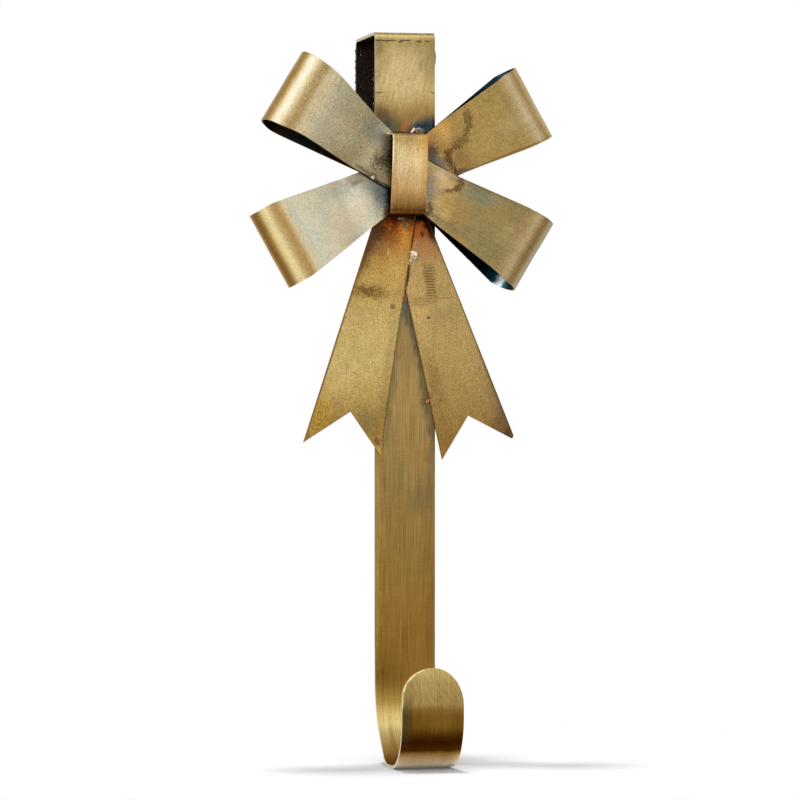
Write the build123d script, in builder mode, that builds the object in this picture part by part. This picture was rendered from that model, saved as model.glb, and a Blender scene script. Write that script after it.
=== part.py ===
"""Wreath hanger: a strap folded over the top of a door, with a hook below and a bow of bent strips in front.

Millimetres. +Z is up, +Y points at the back of the door, X runs along the door.
The origin is the middle of the strap's underside, where it rests on the top edge of the door.
"""
import os
from math import asin, atan2, cos, degrees, hypot, radians, sin, sqrt, tan

from build123d import *

os.makedirs("parts", exist_ok=True)

# Door and strap
door_thickness = 44.5
door_clearance = 0.4
felt_thickness = 1.8
strap_width = 30.4
strap_thickness = 1.5
fold_inner_radius = 2.5
overall_height = 363.0
back_leg_length = 65.0

# Hook at the foot of the strap, radii on the middle of the sheet
hook_entry_radius = 40.0
hook_entry_turn = 45.0
hook_slope_run = 13.0
hook_heel_radius = 16.0
hook_floor = 9.8
hook_nose_radius = 25.5
lip_height = 50.5
lip_left_shoulder = 14.5
lip_right_shoulder = 18.5

# Felt pads
felt_length = 58.0
felt_side_margin = 0.3
felt_below_fold = 0.8

# Sheet of the bow, the knot and the tails
bow_sheet = 0.8
tail_sheet = 1.0
layer_gap = 0.2
strip_tip_gap = 1.0
crease_radius = 2.5

# Bow
bow_centre_x = 0.8
bow_centre_z = -68.7
waist_above = 10.5
front_waist_below = 10.5
back_waist_below = 11.5
front_fold_angle = -31.0
back_fold_angle = 29.0

# Each loop: tilt of its middle line, reach to the outermost bend, bend radius, where its two layers part,
# half widths at the bend above and below the middle line, and how far it leans up the width per depth
upper_left = {
    "tilt": -31.7, "reach": 77.5, "bend": 15.0, "parting": 21.0,
    "above": 19.4, "below": 20.0, "lean": 0.04,
}
lower_right = {
    "tilt": -35.8, "reach": 74.0, "bend": 12.5, "parting": 19.0,
    "above": 20.0, "below": 20.0, "lean": 0.0,
}
lower_left = {
    "tilt": 28.2, "reach": 82.0, "bend": 13.0, "parting": 30.0,
    "above": 19.2, "below": 22.0, "lean": 0.0,
}
upper_right = {
    "tilt": 29.5, "reach": 71.0, "bend": 11.0, "parting": 28.0,
    "above": 21.4, "below": 18.4, "lean": -0.07,
}

# Knot
knot_centre_x = 0.2
knot_width = 17.8
knot_top_z = -49.3
knot_height = 40.6
knot_upper_radius = 3.0
knot_lower_radius = 3.5
knot_upper_slant = 6.0
knot_lower_slant = 16.0
knot_end_run = 1.6

# Tails, as points (x, z) on the strap
tail_seam_gap = 0.5
left_tail_outer_top = (-10.0, -74.5)
left_tail_inner_top = (7.0, -74.5)
left_tail_inner_tip = (-12.5, -209.4)
left_tail_notch = (-27.8, -187.4)
left_tail_outer_tip = (-51.7, -202.7)
right_tail_seam_top_z = -84.0
right_tail_seam_foot_z = -126.3
right_tail_outer_top = (8.4, -84.0)
right_tail_outer_tip = (55.2, -199.4)
right_tail_clipped_tip = (54.4, -200.9)
right_tail_notch = (31.9, -189.4)
right_tail_inner_tip = (18.6, -211.4)

# Weld beads: place (x, z), radius along the surface and height above it
knot_top_bead = {"x": 6.1, "radius": 3.4, "height": 2.0}
knot_foot_bead = {"x": -2.1, "radius": 2.2, "height": 1.2}
left_edge_bead = {"x": -16.7, "z": -70.9, "radius": 1.9, "height": 2.8}
right_edge_bead = {"x": 21.8, "z": -68.9, "radius": 2.0, "height": 2.4}
seam_bead = {"x": 3.7, "z": -109.7, "radius": 2.3, "height": 1.2}
tail_edge_bead = {"x": 11.5, "z": -182.4, "radius": 1.7, "height": 1.7}

# Places that follow from the sizes
inner_gap = door_thickness + door_clearance + 2 * felt_thickness
strap_front = -inner_gap / 2 - strap_thickness
fold_radius = fold_inner_radius + strap_thickness / 2
strip_height = 2 * bow_sheet + layer_gap
front_layer_middle = 1.5 * bow_sheet + layer_gap
strip_tip = (-strip_tip_gap / 2, front_layer_middle)
deepest_loop = tail_sheet + strip_height + 2 * max(upper_left["bend"], lower_left["bend"])


def bent_sheet(start, heading, moves, thickness):
    """Draw the outline of a bent sheet around its middle line; each move is a straight run, then a bend."""
    ends = []
    for side in (1, -1):
        course = Vector(1, 0).rotate(Axis.Z, heading)
        point = Vector(*start) + course.rotate(Axis.Z, 90) * (side * thickness / 2)
        first = point
        for run, radius, turn in moves:
            if run > 0:
                point = Line(point, point + course * run) @ 1
            if turn != 0:
                side_radius = radius - side * thickness / 2 * (1 if turn > 0 else -1)
                point = JernArc(point, course, side_radius, turn) @ 1
                course = course.rotate(Axis.Z, turn)
        ends.append((first, point))
    Line(ends[0][0], ends[1][0])
    Line(ends[0][1], ends[1][1])


def in_front_of_strap(distance):
    """Plane parallel to the strap at a distance in front of it, with X to the right and Z up."""
    return Plane(origin=(0, strap_front - distance, 0), x_dir=(1, 0, 0), z_dir=(0, -1, 0))


# Strap: back leg, top, front leg, hook and lip in one folded strip
entry = radians(hook_entry_turn)
hook_drop = hook_entry_radius * sin(entry) + hook_slope_run * cos(entry) + hook_heel_radius * (1 - sin(entry))
front_run = overall_height - strap_thickness - fold_inner_radius - hook_drop - strap_thickness / 2
lip_run = lip_height - hook_nose_radius - strap_thickness / 2
hook_back = hook_entry_radius * (1 - cos(entry)) + hook_slope_run * sin(entry) + hook_heel_radius * cos(entry)
lip_tip_z = strap_thickness - overall_height + lip_height

with BuildPart() as strap:
    with BuildSketch(Plane.YZ):
        with BuildLine():
            bent_sheet(
                (inner_gap / 2 + strap_thickness / 2, -back_leg_length),
                90,
                [
                    (back_leg_length - fold_inner_radius, fold_radius, 90),
                    (inner_gap - 2 * fold_inner_radius, fold_radius, 90),
                    (front_run, hook_entry_radius, -hook_entry_turn),
                    (hook_slope_run, hook_heel_radius, hook_entry_turn - 90),
                    (hook_floor, hook_nose_radius, -90),
                    (lip_run, 0, 0),
                ],
                strap_thickness,
            )
        make_face()
    extrude(amount=strap_width / 2, both=True)
    # The lip's tip is rounded by hand, so its right shoulder starts lower than its left
    with BuildSketch(in_front_of_strap(hook_back + hook_floor)):
        with BuildLine():
            half = strap_width / 2
            left_corner = (-half, lip_tip_z - lip_left_shoulder)
            right_corner = (half, lip_tip_z - lip_right_shoulder)
            EllipticalCenterArc((0, left_corner[1]), half, lip_left_shoulder, start_angle=90, arc_size=90)
            EllipticalCenterArc((0, right_corner[1]), half, lip_right_shoulder, start_angle=0, arc_size=90)
            Polyline(
                right_corner,
                (strap_width, right_corner[1]),
                (strap_width, lip_tip_z + strap_width),
                (-strap_width, lip_tip_z + strap_width),
                (-strap_width, left_corner[1]),
                left_corner,
            )
        make_face()
    extrude(amount=2 * hook_nose_radius, mode=Mode.SUBTRACT)

strap.part.label = "strap"
export_step(strap.part, "parts/strap.step")

# Felt pads on the inside of both legs
felt_size = (strap_width - 2 * felt_side_margin, felt_thickness, felt_length)
felt_middle_z = -fold_inner_radius - felt_below_fold - felt_length / 2

with BuildPart() as felt_pad_front:
    with Locations((0, -inner_gap / 2 + felt_thickness / 2, felt_middle_z)):
        Box(*felt_size)

felt_pad_front.part.label = "felt_pad_front"
export_step(felt_pad_front.part, "parts/felt_pad_front.step")

with BuildPart() as felt_pad_back:
    with Locations((0, inner_gap / 2 - felt_thickness / 2, felt_middle_z)):
        Box(*felt_size)

felt_pad_back.part.label = "felt_pad_back"
export_step(felt_pad_back.part, "parts/felt_pad_back.step")


# Tails flat on the strap, meeting along a seam below the knot
def seam_point(height):
    """Point of the right tail's seam edge, a gap away from the left tail's inner edge."""
    (top_x, top_z), (tip_x, tip_z) = left_tail_inner_top, left_tail_inner_tip
    share = (height - tip_z) / (top_z - tip_z)
    return (tip_x + share * (top_x - tip_x) + tail_seam_gap, height)


with BuildPart() as tail_left:
    with BuildSketch(in_front_of_strap(0)):
        Polygon(
            left_tail_outer_top,
            left_tail_inner_top,
            left_tail_inner_tip,
            left_tail_notch,
            left_tail_outer_tip,
            align=None,
        )
    extrude(amount=tail_sheet)

tail_left.part.label = "tail_left"
export_step(tail_left.part, "parts/tail_left.step")

with BuildPart() as tail_right:
    with BuildSketch(in_front_of_strap(0)):
        Polygon(
            seam_point(right_tail_seam_top_z),
            right_tail_outer_top,
            right_tail_outer_tip,
            right_tail_clipped_tip,
            right_tail_notch,
            right_tail_inner_tip,
            seam_point(right_tail_seam_foot_z),
            align=None,
        )
    extrude(amount=tail_sheet)

tail_right.part.label = "tail_right"
export_step(tail_right.part, "parts/tail_right.step")


# Bow: two strips, each bent into a loop at both ends
def loop_course(loop):
    """Rise angle, crease set-back, straight length and bend radius of the layer from the waist to the bend."""
    bend = loop["bend"] - bow_sheet / 2
    along = loop["reach"] - loop["bend"] - loop["parting"]
    up = bow_sheet / 2 + bend - front_layer_middle
    rise = degrees(atan2(up, along) + asin(bend / hypot(along, up)))
    setback = crease_radius * tan(radians(rise / 2))
    return rise, setback, sqrt(along**2 + up**2 - bend**2), bend


def strip_moves(left, right):
    """Runs and bends of one strip, from its left tip round both loops to its right tip."""
    rise_l, setback_l, straight_l, bend_l = loop_course(left)
    rise_r, setback_r, straight_r, bend_r = loop_course(right)
    back_run = left["reach"] - left["bend"] + right["reach"] - right["bend"]
    return [
        (left["parting"] - strip_tip_gap / 2 - setback_l, crease_radius, -rise_l),
        (straight_l - setback_l, bend_l, 180 + rise_l),
        (back_run, bend_r, 180 + rise_r),
        (straight_r - setback_r, crease_radius, -rise_r),
        (right["parting"] - strip_tip_gap / 2 - setback_r, 0, 0),
    ]


def fold_plane(angle, distance):
    """Plane across a strip's bends: its x runs along the strip and its y points forward from the strap."""
    along = Vector(cos(radians(angle)), 0, sin(radians(angle)))
    origin = (bow_centre_x, strap_front - distance, bow_centre_z)
    return Plane(origin=origin, x_dir=along, z_dir=along.cross(Vector(0, -1, 0)))


def bow_point(angle, along, across):
    """Point (x, z) at a distance along a line through the bow's centre and a distance to its upper side."""
    turn = radians(angle)
    return (
        bow_centre_x + along * cos(turn) - across * sin(turn),
        bow_centre_z + along * sin(turn) + across * cos(turn),
    )


def loop_outline(loop, side, fold_angle, waist_below):
    """Outline of one half of a strip seen from the front: the waist, then wider and wider past the bend."""
    stretch = (loop["reach"] + loop["bend"]) / loop["reach"]
    above = waist_above + stretch * (loop["above"] - waist_above)
    below = waist_below + stretch * (loop["below"] - waist_below)
    far = side * stretch * loop["reach"]
    return [
        bow_point(fold_angle, 0, waist_above),
        bow_point(loop["tilt"], far, above),
        bow_point(loop["tilt"], far, -below),
        bow_point(fold_angle, 0, -waist_below),
    ]


def loop_lean(loop, fold_angle):
    """Direction in which a loop's cut edges run forward from the strap."""
    turn = radians(fold_angle)
    return (-loop["lean"] * sin(turn), -1, loop["lean"] * cos(turn))


with BuildPart() as back_outline:
    for loop, side in ((lower_left, -1), (upper_right, 1)):
        with BuildSketch(in_front_of_strap(0)):
            Polygon(*loop_outline(loop, side, back_fold_angle, back_waist_below), align=None)
        extrude(amount=deepest_loop, dir=loop_lean(loop, back_fold_angle))

with BuildPart() as bow_strip_back:
    with BuildSketch(fold_plane(back_fold_angle, tail_sheet)):
        with BuildLine():
            bent_sheet(strip_tip, 180, strip_moves(lower_left, upper_right), bow_sheet)
        make_face()
    extrude(amount=2 * lower_left["below"], both=True)
    add(back_outline.part, mode=Mode.INTERSECT)

bow_strip_back.part.label = "bow_strip_back"
export_step(bow_strip_back.part, "parts/bow_strip_back.step")

with BuildPart() as front_outline:
    for loop, side in ((upper_left, -1), (lower_right, 1)):
        with BuildSketch(in_front_of_strap(0)):
            Polygon(*loop_outline(loop, side, front_fold_angle, front_waist_below), align=None)
        extrude(amount=deepest_loop, dir=loop_lean(loop, front_fold_angle))

with BuildPart() as bow_strip_front:
    with BuildSketch(fold_plane(front_fold_angle, tail_sheet + strip_height)):
        with BuildLine():
            bent_sheet(strip_tip, 180, strip_moves(upper_left, lower_right), bow_sheet)
        make_face()
    extrude(amount=2 * upper_left["below"], both=True)
    add(front_outline.part, mode=Mode.INTERSECT)

bow_strip_front.part.label = "bow_strip_front"
export_step(bow_strip_front.part, "parts/bow_strip_front.step")

# Knot: a band bent over the crossing, its ends on the strap above and on the tails below
upper_slant = radians(knot_upper_slant)
lower_slant = radians(knot_lower_slant)
knot_upper_drop = knot_upper_radius * (1 + sin(upper_slant))
knot_lower_drop = knot_lower_radius * (1 - sin(lower_slant))
knot_face_drop = knot_height - bow_sheet - knot_upper_drop - knot_lower_drop
knot_face_radius = knot_face_drop / (sin(lower_slant) - sin(upper_slant))
knot_face_fall = knot_face_radius * (cos(upper_slant) - cos(lower_slant)) + knot_lower_radius * cos(lower_slant)
knot_top_run = tail_sheet + knot_end_run + knot_face_fall - knot_upper_radius * cos(upper_slant)

with BuildPart() as knot_band:
    with BuildSketch(Plane.YZ.offset(knot_centre_x)):
        with BuildLine():
            bent_sheet(
                (strap_front, knot_top_z - bow_sheet / 2),
                180,
                [
                    (knot_top_run, knot_upper_radius, 90 + knot_upper_slant),
                    (0, knot_face_radius, knot_lower_slant - knot_upper_slant),
                    (0, knot_lower_radius, 90 - knot_lower_slant),
                    (knot_end_run, 0, 0),
                ],
                bow_sheet,
            )
        make_face()
    extrude(amount=knot_width / 2, both=True)
    # The corners of the knot's ends are notched where they straddle the strips
    add([bow_strip_back.part, bow_strip_front.part], mode=Mode.SUBTRACT)

knot_band.part.label = "knot_band"
export_step(knot_band.part, "parts/knot_band.step")

# Weld beads: domes of filler where the pieces are joined, a half dome against each end of the knot
strip_face = tail_sheet + strip_height
knot_foot_z = knot_top_z - knot_height
beads = [
    (knot_top_bead, knot_top_z, 0, -1, 180),
    (knot_foot_bead, knot_foot_z, tail_sheet, 1, 180),
    (left_edge_bead, left_edge_bead["z"], strip_face, 1, 360),
    (right_edge_bead, right_edge_bead["z"], strip_face, 1, 360),
    (seam_bead, seam_bead["z"], tail_sheet, 1, 360),
    (tail_edge_bead, tail_edge_bead["z"], 0, 1, 360),
]

with BuildPart() as weld_beads:
    for bead, place_z, base, axis_side, sweep in beads:
        radius = bead["radius"]
        height = bead["height"]
        ball = (radius**2 + height**2) / (2 * height)
        start = degrees(asin((ball - height) / ball))
        centre = Vector(bead["x"], strap_front - base, place_z)
        with BuildSketch(Plane(origin=centre, x_dir=(1, 0, 0), z_dir=(0, 0, -1))):
            with BuildLine():
                CenterArc((0, height - ball), ball, start, 90 - start)
                Polyline((0, height), (0, 0), (radius, 0))
            make_face()
        revolve(axis=Axis(centre, (0, axis_side, 0)), revolution_arc=sweep)
    add([bow_strip_back.part, bow_strip_front.part, tail_right.part], mode=Mode.SUBTRACT)

weld_beads.part.label = "weld_beads"
export_step(weld_beads.part, "parts/weld_beads.step")
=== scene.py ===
# %% [markdown]
# # A brass wreath hanger
# The hanger is sheet metal from end to end. One strap folds over the door and ends in a hook, and a bow
# of bent strips is welded on its front. Every cell below makes one piece or one finish, and says why it
# is made that way. The solids of the part are loaded first, because each piece has to stay where its
# solid is.

# %% Load the solids
import random
from math import asin, atan2, cos, degrees, hypot, radians, sin, sqrt, tan

import bmesh
import bpy
from mathutils import Matrix, Quaternion, Vector, noise


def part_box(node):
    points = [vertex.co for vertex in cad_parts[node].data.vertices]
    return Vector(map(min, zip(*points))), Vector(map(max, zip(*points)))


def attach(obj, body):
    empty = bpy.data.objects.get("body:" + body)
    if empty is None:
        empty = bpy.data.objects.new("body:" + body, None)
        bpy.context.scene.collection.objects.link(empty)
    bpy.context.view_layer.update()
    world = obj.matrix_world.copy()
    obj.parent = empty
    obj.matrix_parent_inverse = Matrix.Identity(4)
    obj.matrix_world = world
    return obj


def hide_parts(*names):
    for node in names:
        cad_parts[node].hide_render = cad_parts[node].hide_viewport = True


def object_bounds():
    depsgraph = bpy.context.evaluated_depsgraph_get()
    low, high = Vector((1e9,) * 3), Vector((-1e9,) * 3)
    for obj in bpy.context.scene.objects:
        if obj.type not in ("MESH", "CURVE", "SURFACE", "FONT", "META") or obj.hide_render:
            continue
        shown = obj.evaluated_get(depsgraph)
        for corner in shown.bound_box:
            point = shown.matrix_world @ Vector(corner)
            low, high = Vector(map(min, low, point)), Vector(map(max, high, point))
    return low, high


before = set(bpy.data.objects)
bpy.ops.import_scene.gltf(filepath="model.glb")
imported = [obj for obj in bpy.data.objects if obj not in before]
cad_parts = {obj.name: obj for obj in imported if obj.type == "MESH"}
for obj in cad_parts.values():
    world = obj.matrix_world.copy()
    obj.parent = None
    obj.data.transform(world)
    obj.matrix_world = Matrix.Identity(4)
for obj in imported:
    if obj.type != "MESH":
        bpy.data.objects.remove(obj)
cad_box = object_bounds()
MM = 0.001
cad_low, cad_high = (Vector(corner) / MM for corner in cad_box)
print("solids:", sorted(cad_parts))
print("box in mm:", [round(size, 1) for size in cad_high - cad_low])

# %% [markdown]
# ## Camera
# The photograph was taken from a little to the left of the hanger, level with its middle, through a long
# lens. A long lens far away keeps the strap's two sides almost parallel. The camera looks at a point on
# the strap's front.

# %% Camera
CAMERA_AZIMUTH = -11.5
CAMERA_DISTANCE = 2200.0
PIXELS_PER_MM = 2.01
IMAGE_SIZE = 800
SENSOR_WIDTH = 36.0
strap_low, strap_high = (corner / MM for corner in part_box("strap"))
strap_thickness = strap_high.z
inner_gap = 2 * (strap_high.y - strap_thickness)
strap_front = -strap_high.y
aim = Vector((-2.6, strap_front, -181.6))
camera_turn = radians(CAMERA_AZIMUTH)

camera_data = bpy.data.cameras.new("camera")
camera_data.sensor_width = SENSOR_WIDTH
camera_data.lens = SENSOR_WIDTH * PIXELS_PER_MM * CAMERA_DISTANCE / IMAGE_SIZE
camera = bpy.data.objects.new("camera", camera_data)
camera.location = (aim + CAMERA_DISTANCE * Vector((sin(camera_turn), -cos(camera_turn), 0))) * MM
camera.rotation_euler = (radians(90), 0, camera_turn)
bpy.context.scene.collection.objects.link(camera)
bpy.context.scene.camera = camera
print("lens:", round(camera_data.lens, 1), "mm")

# %% [markdown]
# ## Shader maths
# Aged brass has many layers of colour, and each layer is a sum of patterns. Node by node that is hard to
# read, so a small class wraps a socket: two wires can be added or multiplied in Python, and the Math
# nodes appear by themselves. One method makes every other kind of node. Distances in all patterns are in
# millimetres.


# %% A wire for shader maths
class Wire:
    """One socket of a node tree, which can take part in Python sums."""

    def __init__(self, tree, socket=None):
        self.tree = tree
        self.socket = socket

    def node(self, kind, settings, values, output=0):
        """Make a node: its settings first, then the values or wires of its sockets."""
        made = self.tree.nodes.new(kind)
        for key, setting in settings.items():
            if key == "stops":
                while len(made.color_ramp.elements) < len(setting):
                    made.color_ramp.elements.new(1.0)
                for element, (place, colour) in zip(made.color_ramp.elements, setting):
                    element.position = place
                    element.color = colour
            else:
                setattr(made, key, setting)
        for key, value in values.items():
            if isinstance(value, Wire):
                self.tree.links.new(value.socket, made.inputs[key])
            else:
                made.inputs[key].default_value = value
        return Wire(self.tree, made.outputs[output] if made.outputs else None)

    def math(self, operation, first, second=0.0):
        return self.node("ShaderNodeMath", {"operation": operation}, {0: first, 1: second})

    def __add__(self, other):
        return self.math("ADD", self, other)

    __radd__ = __add__

    def __sub__(self, other):
        return self.math("SUBTRACT", self, other)

    def __rsub__(self, other):
        return self.math("SUBTRACT", other, self)

    def __mul__(self, other):
        return self.math("MULTIPLY", self, other)

    __rmul__ = __mul__

    def __truediv__(self, other):
        return self.math("DIVIDE", self, other)

    def __rtruediv__(self, other):
        return self.math("DIVIDE", other, self)

    def __abs__(self):
        return self.math("ABSOLUTE", self)

    def ramp(self, low, high, start=0.0, end=1.0):
        """Go smoothly from start to end while this wire goes from low to high."""
        settings = {"interpolation_type": "SMOOTHSTEP"}
        return self.node("ShaderNodeMapRange", settings, {0: self, 1: low, 2: high, 3: start, 4: end})

    def fade(self, low, high):
        """Go smoothly from one to nothing while this wire goes from low to high."""
        return self.ramp(low, high, 1.0, 0.0)

    def axis(self, name):
        """One coordinate of a vector."""
        return self.node("ShaderNodeSeparateXYZ", {}, {0: self}, output=name)

    def vector(self, operation, other=(0, 0, 0), scale=1.0):
        """Vector Math on this vector or colour."""
        output = "Value" if operation == "LENGTH" else "Vector"
        values = {0: self, 1: other, 3: scale}
        return self.node("ShaderNodeVectorMath", {"operation": operation}, values, output)

    def mixed(self, other, share):
        """This colour with a share of another one."""
        return self.node("ShaderNodeMix", {"data_type": "RGBA"}, {0: share, 6: self, 7: other}, output=2)

    def placed(self, centre=(0, 0, 0), size=(1, 1, 1), turn=0.0):
        """Coordinates from a centre, in units of a size, turned to the left as seen from the front."""
        values = {0: self, 1: centre, 2: (0, -radians(turn), 0), 3: size}
        return self.node("ShaderNodeMapping", {"vector_type": "TEXTURE"}, values)

    def grain(self, size, detail=2.0, output=0):
        """Cloudy noise around 0.5 with clouds of about that size; a size of three numbers stretches them."""
        stretched = self.placed(size=size if isinstance(size, tuple) else (size, size, size))
        values = {"Vector": stretched, "Scale": 1.0, "Detail": detail}
        return self.node("ShaderNodeTexNoise", {}, values, output)

    def sway(self, size, detail=2.0):
        """The same noise around zero, to push something to and fro."""
        return self.grain(size, detail) - 0.5

    def ragged(self, size, amount):
        """The same coordinates pushed about by noise, so that what is drawn on them gets an uneven rim."""
        push = self.grain(size, 3.0, output="Color").vector("SUBTRACT", (0.5, 0.5, 0.5))
        return self.vector("ADD", push.vector("SCALE", scale=amount))

    def specks(self, cell, share, radius):
        """Small round dots in a share of the cells of a loose grid."""
        values = {"Vector": self.placed(size=(cell, cell, cell)), "Scale": 1.0}
        far = self.node("ShaderNodeTexVoronoi", {}, values, output="Distance")
        chance = self.node("ShaderNodeTexVoronoi", {}, values, output="Color").axis("X")
        return far.fade(radius * 0.5, radius) * chance.ramp(1 - share, 1.02 - share)


print("wire ready")

# %% [markdown]
# Four more helpers paint with the wire. Colours are given as a screen shows them, because that is how
# they were judged, and the first helper turns them into light. The second lays colours one after the
# other along a value, as heat tints lie along a sheet. The third measures the distance from the middle
# of an ellipse, and the last paints a list of such ellipses as stains.

# %% Colours and stains
ANY_DEPTH = 1000.0


def linear(red, green, blue):
    """Colour as a screen shows it, from 0 to 255, turned into the light that a shader works with."""
    shares = (channel / 255 for channel in (red, green, blue))
    return tuple(s / 12.92 if s <= 0.04045 else ((s + 0.055) / 1.055) ** 2.4 for s in shares) + (1.0,)


def banded(value, bands):
    """Colours one after the other along a value; each band is a place and a colour."""
    low, high = bands[0][0], bands[-1][0]
    stops = [((place - low) / (high - low), linear(*colour)) for place, colour in bands]
    return value.node("ShaderNodeValToRGB", {"stops": stops}, {0: (value - low) / (high - low)})


def ellipse(place, x, z, wide, tall, turn):
    """Distance from the middle of an ellipse on the front, where 1 is its rim; depth makes no difference."""
    return place.placed((x, 0, z), (wide, ANY_DEPTH, tall), turn).vector("LENGTH")


def stained(colour, place, stains, crumbs=0.0):
    """Lay stains over a colour: centre x, z, half sizes, turn, softness of the rim, strength and paint."""
    for x, z, wide, tall, turn, soft, share, paint in stains:
        far = ellipse(place, x, z, wide, tall, turn) + crumbs
        colour = colour.mixed(linear(*paint), far.ramp(1 - soft, 1 + soft, share, 0.0))
    return colour


print("colours and stains ready")

# %% [markdown]
# ## Studio
# The background of the photograph is pure white, the light is soft and wide, and brass shows all of it as
# a mirror would. Lamps would be the first idea. Metal needs large soft areas to reflect, though, so the
# world itself is the studio: a broad soft box at the left, a narrow one at the right front, a ceiling,
# and a dark room low in front. Rays from the camera see plain white, and so does metal that faces what
# lies behind the hanger.

# %% Studio light
FRONT_LIGHT = 1.0
LOW_LIGHT = 0.16
CEILING_LIGHT = 0.6
LEFT_BOX_LIGHT = 1.3
RIGHT_BOX_LIGHT = 0.4
LEFT_BOX_AZIMUTH, RIGHT_BOX_AZIMUTH = -64, 36
LEFT_SHADE_AZIMUTH, RIGHT_SHADE_AZIMUTH = -132, 78
DARK_UP_TO, BRIGHT_FROM = -33, -14
CEILING_FROM, CEILING_FULL = 25, 60
BACK_FROM, BACK_FULL = 96, 118
world = bpy.data.worlds.new("studio")
world.use_nodes = True
bpy.context.scene.world = world
world.node_tree.nodes.clear()
sky = Wire(world.node_tree)
direction = sky.node("ShaderNodeTexCoord", {}, {}, output="Generated")
azimuth = sky.math("ARCTAN2", direction.axis("X"), 0 - direction.axis("Y")) * degrees(1)
height = sky.math("ARCSINE", direction.axis("Z")) * degrees(1)


def beside(middle, half_width, soft):
    """Share of light from around an azimuth, with soft sides."""
    return abs(azimuth - middle).fade(half_width - soft, half_width + soft)


left_box = beside(LEFT_BOX_AZIMUTH - height * 0.18, 26, 16) * LEFT_BOX_LIGHT * height.ramp(-58, -34)
right_box = beside(RIGHT_BOX_AZIMUTH, 13, 12) * RIGHT_BOX_LIGHT * height.ramp(-50, -15) * height.fade(30, 60)
right_shade = beside(RIGHT_SHADE_AZIMUTH, 20, 16) * height.ramp(0, 40, 0.15, 0.0)
left_shade = beside(LEFT_SHADE_AZIMUTH, 29, 15) * height.ramp(-10, 30, 0.6, 0.36)
front = height.ramp(DARK_UP_TO, BRIGHT_FROM, LOW_LIGHT, FRONT_LIGHT)
front = front + height.ramp(CEILING_FROM, CEILING_FULL) * CEILING_LIGHT
behind = abs(azimuth).ramp(BACK_FROM, BACK_FULL)
lit = (front + left_box + right_box - right_shade) * (1 - behind) + (1 - left_shade) * behind
seen = sky.node("ShaderNodeLightPath", {}, {}, output="Is Camera Ray")
strength = lit * (1 - seen) + seen
background = sky.node("ShaderNodeBackground", {}, {"Color": (1, 1, 1, 1), "Strength": strength})
sky.node("ShaderNodeOutputWorld", {}, {"Surface": background})
bpy.context.scene.view_settings.view_transform = "Standard"
print("front light", FRONT_LIGHT, "left soft box", FRONT_LIGHT + LEFT_BOX_LIGHT)

# %% [markdown]
# ## Floor
# The floor is a small round sheet of white paper just under the hook. A round lamp high above it, a
# little behind the hanger, throws the soft shadow forward. The lamp is hidden from the brass, which would
# mirror it as a bright dot. The paper has a little light of its own, for the camera and for reflections
# in metal. It lifts the paper to the white of the background, so that its rim doesn't show.

# %% Floor
FLOOR_RADIUS = 240.0
FLOOR_COLOUR = (0.42, 0.42, 0.43, 1.0)
FLOOR_GLOW = 0.06
MIRROR_GLOW = 0.27
LAMP_PLACE = Vector((-180.0, 218.0, 2500.0))
LAMP_SIZE = 380.0
LAMP_POWER = 84.0
floor_mesh = bpy.data.meshes.new("floor")
bm = bmesh.new()
floor_place = Matrix.Translation((0, strap_front * MM, cad_low.z * MM))
bmesh.ops.create_circle(bm, cap_ends=True, radius=FLOOR_RADIUS * MM, segments=96, matrix=floor_place)
bm.to_mesh(floor_mesh)
bm.free()
floor = bpy.data.objects.new("floor", floor_mesh)
bpy.context.scene.collection.objects.link(floor)
paper = bpy.data.materials.new("floor_paper")
paper.use_nodes = True
paper.node_tree.nodes.clear()
sheet = Wire(paper.node_tree)
seen = sheet.node("ShaderNodeLightPath", {}, {}, output="Is Camera Ray")
shown = sheet.node("ShaderNodeLightPath", {}, {}, output="Is Glossy Ray")
paper_values = {
    "Base Color": FLOOR_COLOUR, "Roughness": 1.0, "Specular IOR Level": 0.0,
    "Emission Color": seen * FLOOR_GLOW + shown * MIRROR_GLOW, "Emission Strength": 1.0,
}
paper_shader = sheet.node("ShaderNodeBsdfPrincipled", {}, paper_values)
sheet.node("ShaderNodeOutputMaterial", {}, {"Surface": paper_shader})
floor_mesh.materials.append(paper)
lamp_data = bpy.data.lights.new("ceiling_lamp", "AREA")
lamp_data.shape = "DISK"
lamp_data.size = LAMP_SIZE * MM
lamp_data.energy = LAMP_POWER
lamp = bpy.data.objects.new("ceiling_lamp", lamp_data)
lamp.location = LAMP_PLACE * MM
lamp.visible_glossy = False
bpy.context.scene.collection.objects.link(lamp)
print("floor at", round(cad_low.z, 1), "mm, lamp", round(LAMP_PLACE.z - cad_low.z), "mm above it")

# %% [markdown]
# ## How every sheet is made
# A sheet-metal worker draws a line, bends the strip along it and files the edges. The helpers here do the
# same: a line of straight runs and spun bends is drawn first and then pulled sideways into a strip. Sizes
# are in millimetres until the end.

# %% Helpers for bent sheets
CELL = 2.5
BEND_STEP = 5.0


def drawn_line(bm, start, heading, axis, moves):
    """Draw the middle line of a bent sheet; each move is a straight run, then a bend about the axis."""
    tip = bm.verts.new(start)
    heading = Vector(heading)
    axis = Vector(axis)
    for run, radius, bend in moves:
        pieces = max(1, round(run / CELL)) if run > 0 else 0
        for _ in range(pieces):
            tip = bmesh.ops.extrude_vert_indiv(bm, verts=[tip])["verts"][0]
            tip.co += heading * (run / pieces)
        if bend:
            centre = tip.co + axis.cross(heading) * (radius if bend > 0 else -radius)
            steps = max(3, round(abs(bend) / BEND_STEP))
            spun = bmesh.ops.spin(bm, geom=[tip], cent=centre, axis=axis, angle=radians(bend), steps=steps)
            tip = next(item for item in spun["geom_last"] if isinstance(item, bmesh.types.BMVert))
            heading.rotate(Quaternion(axis, radians(bend)))


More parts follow.
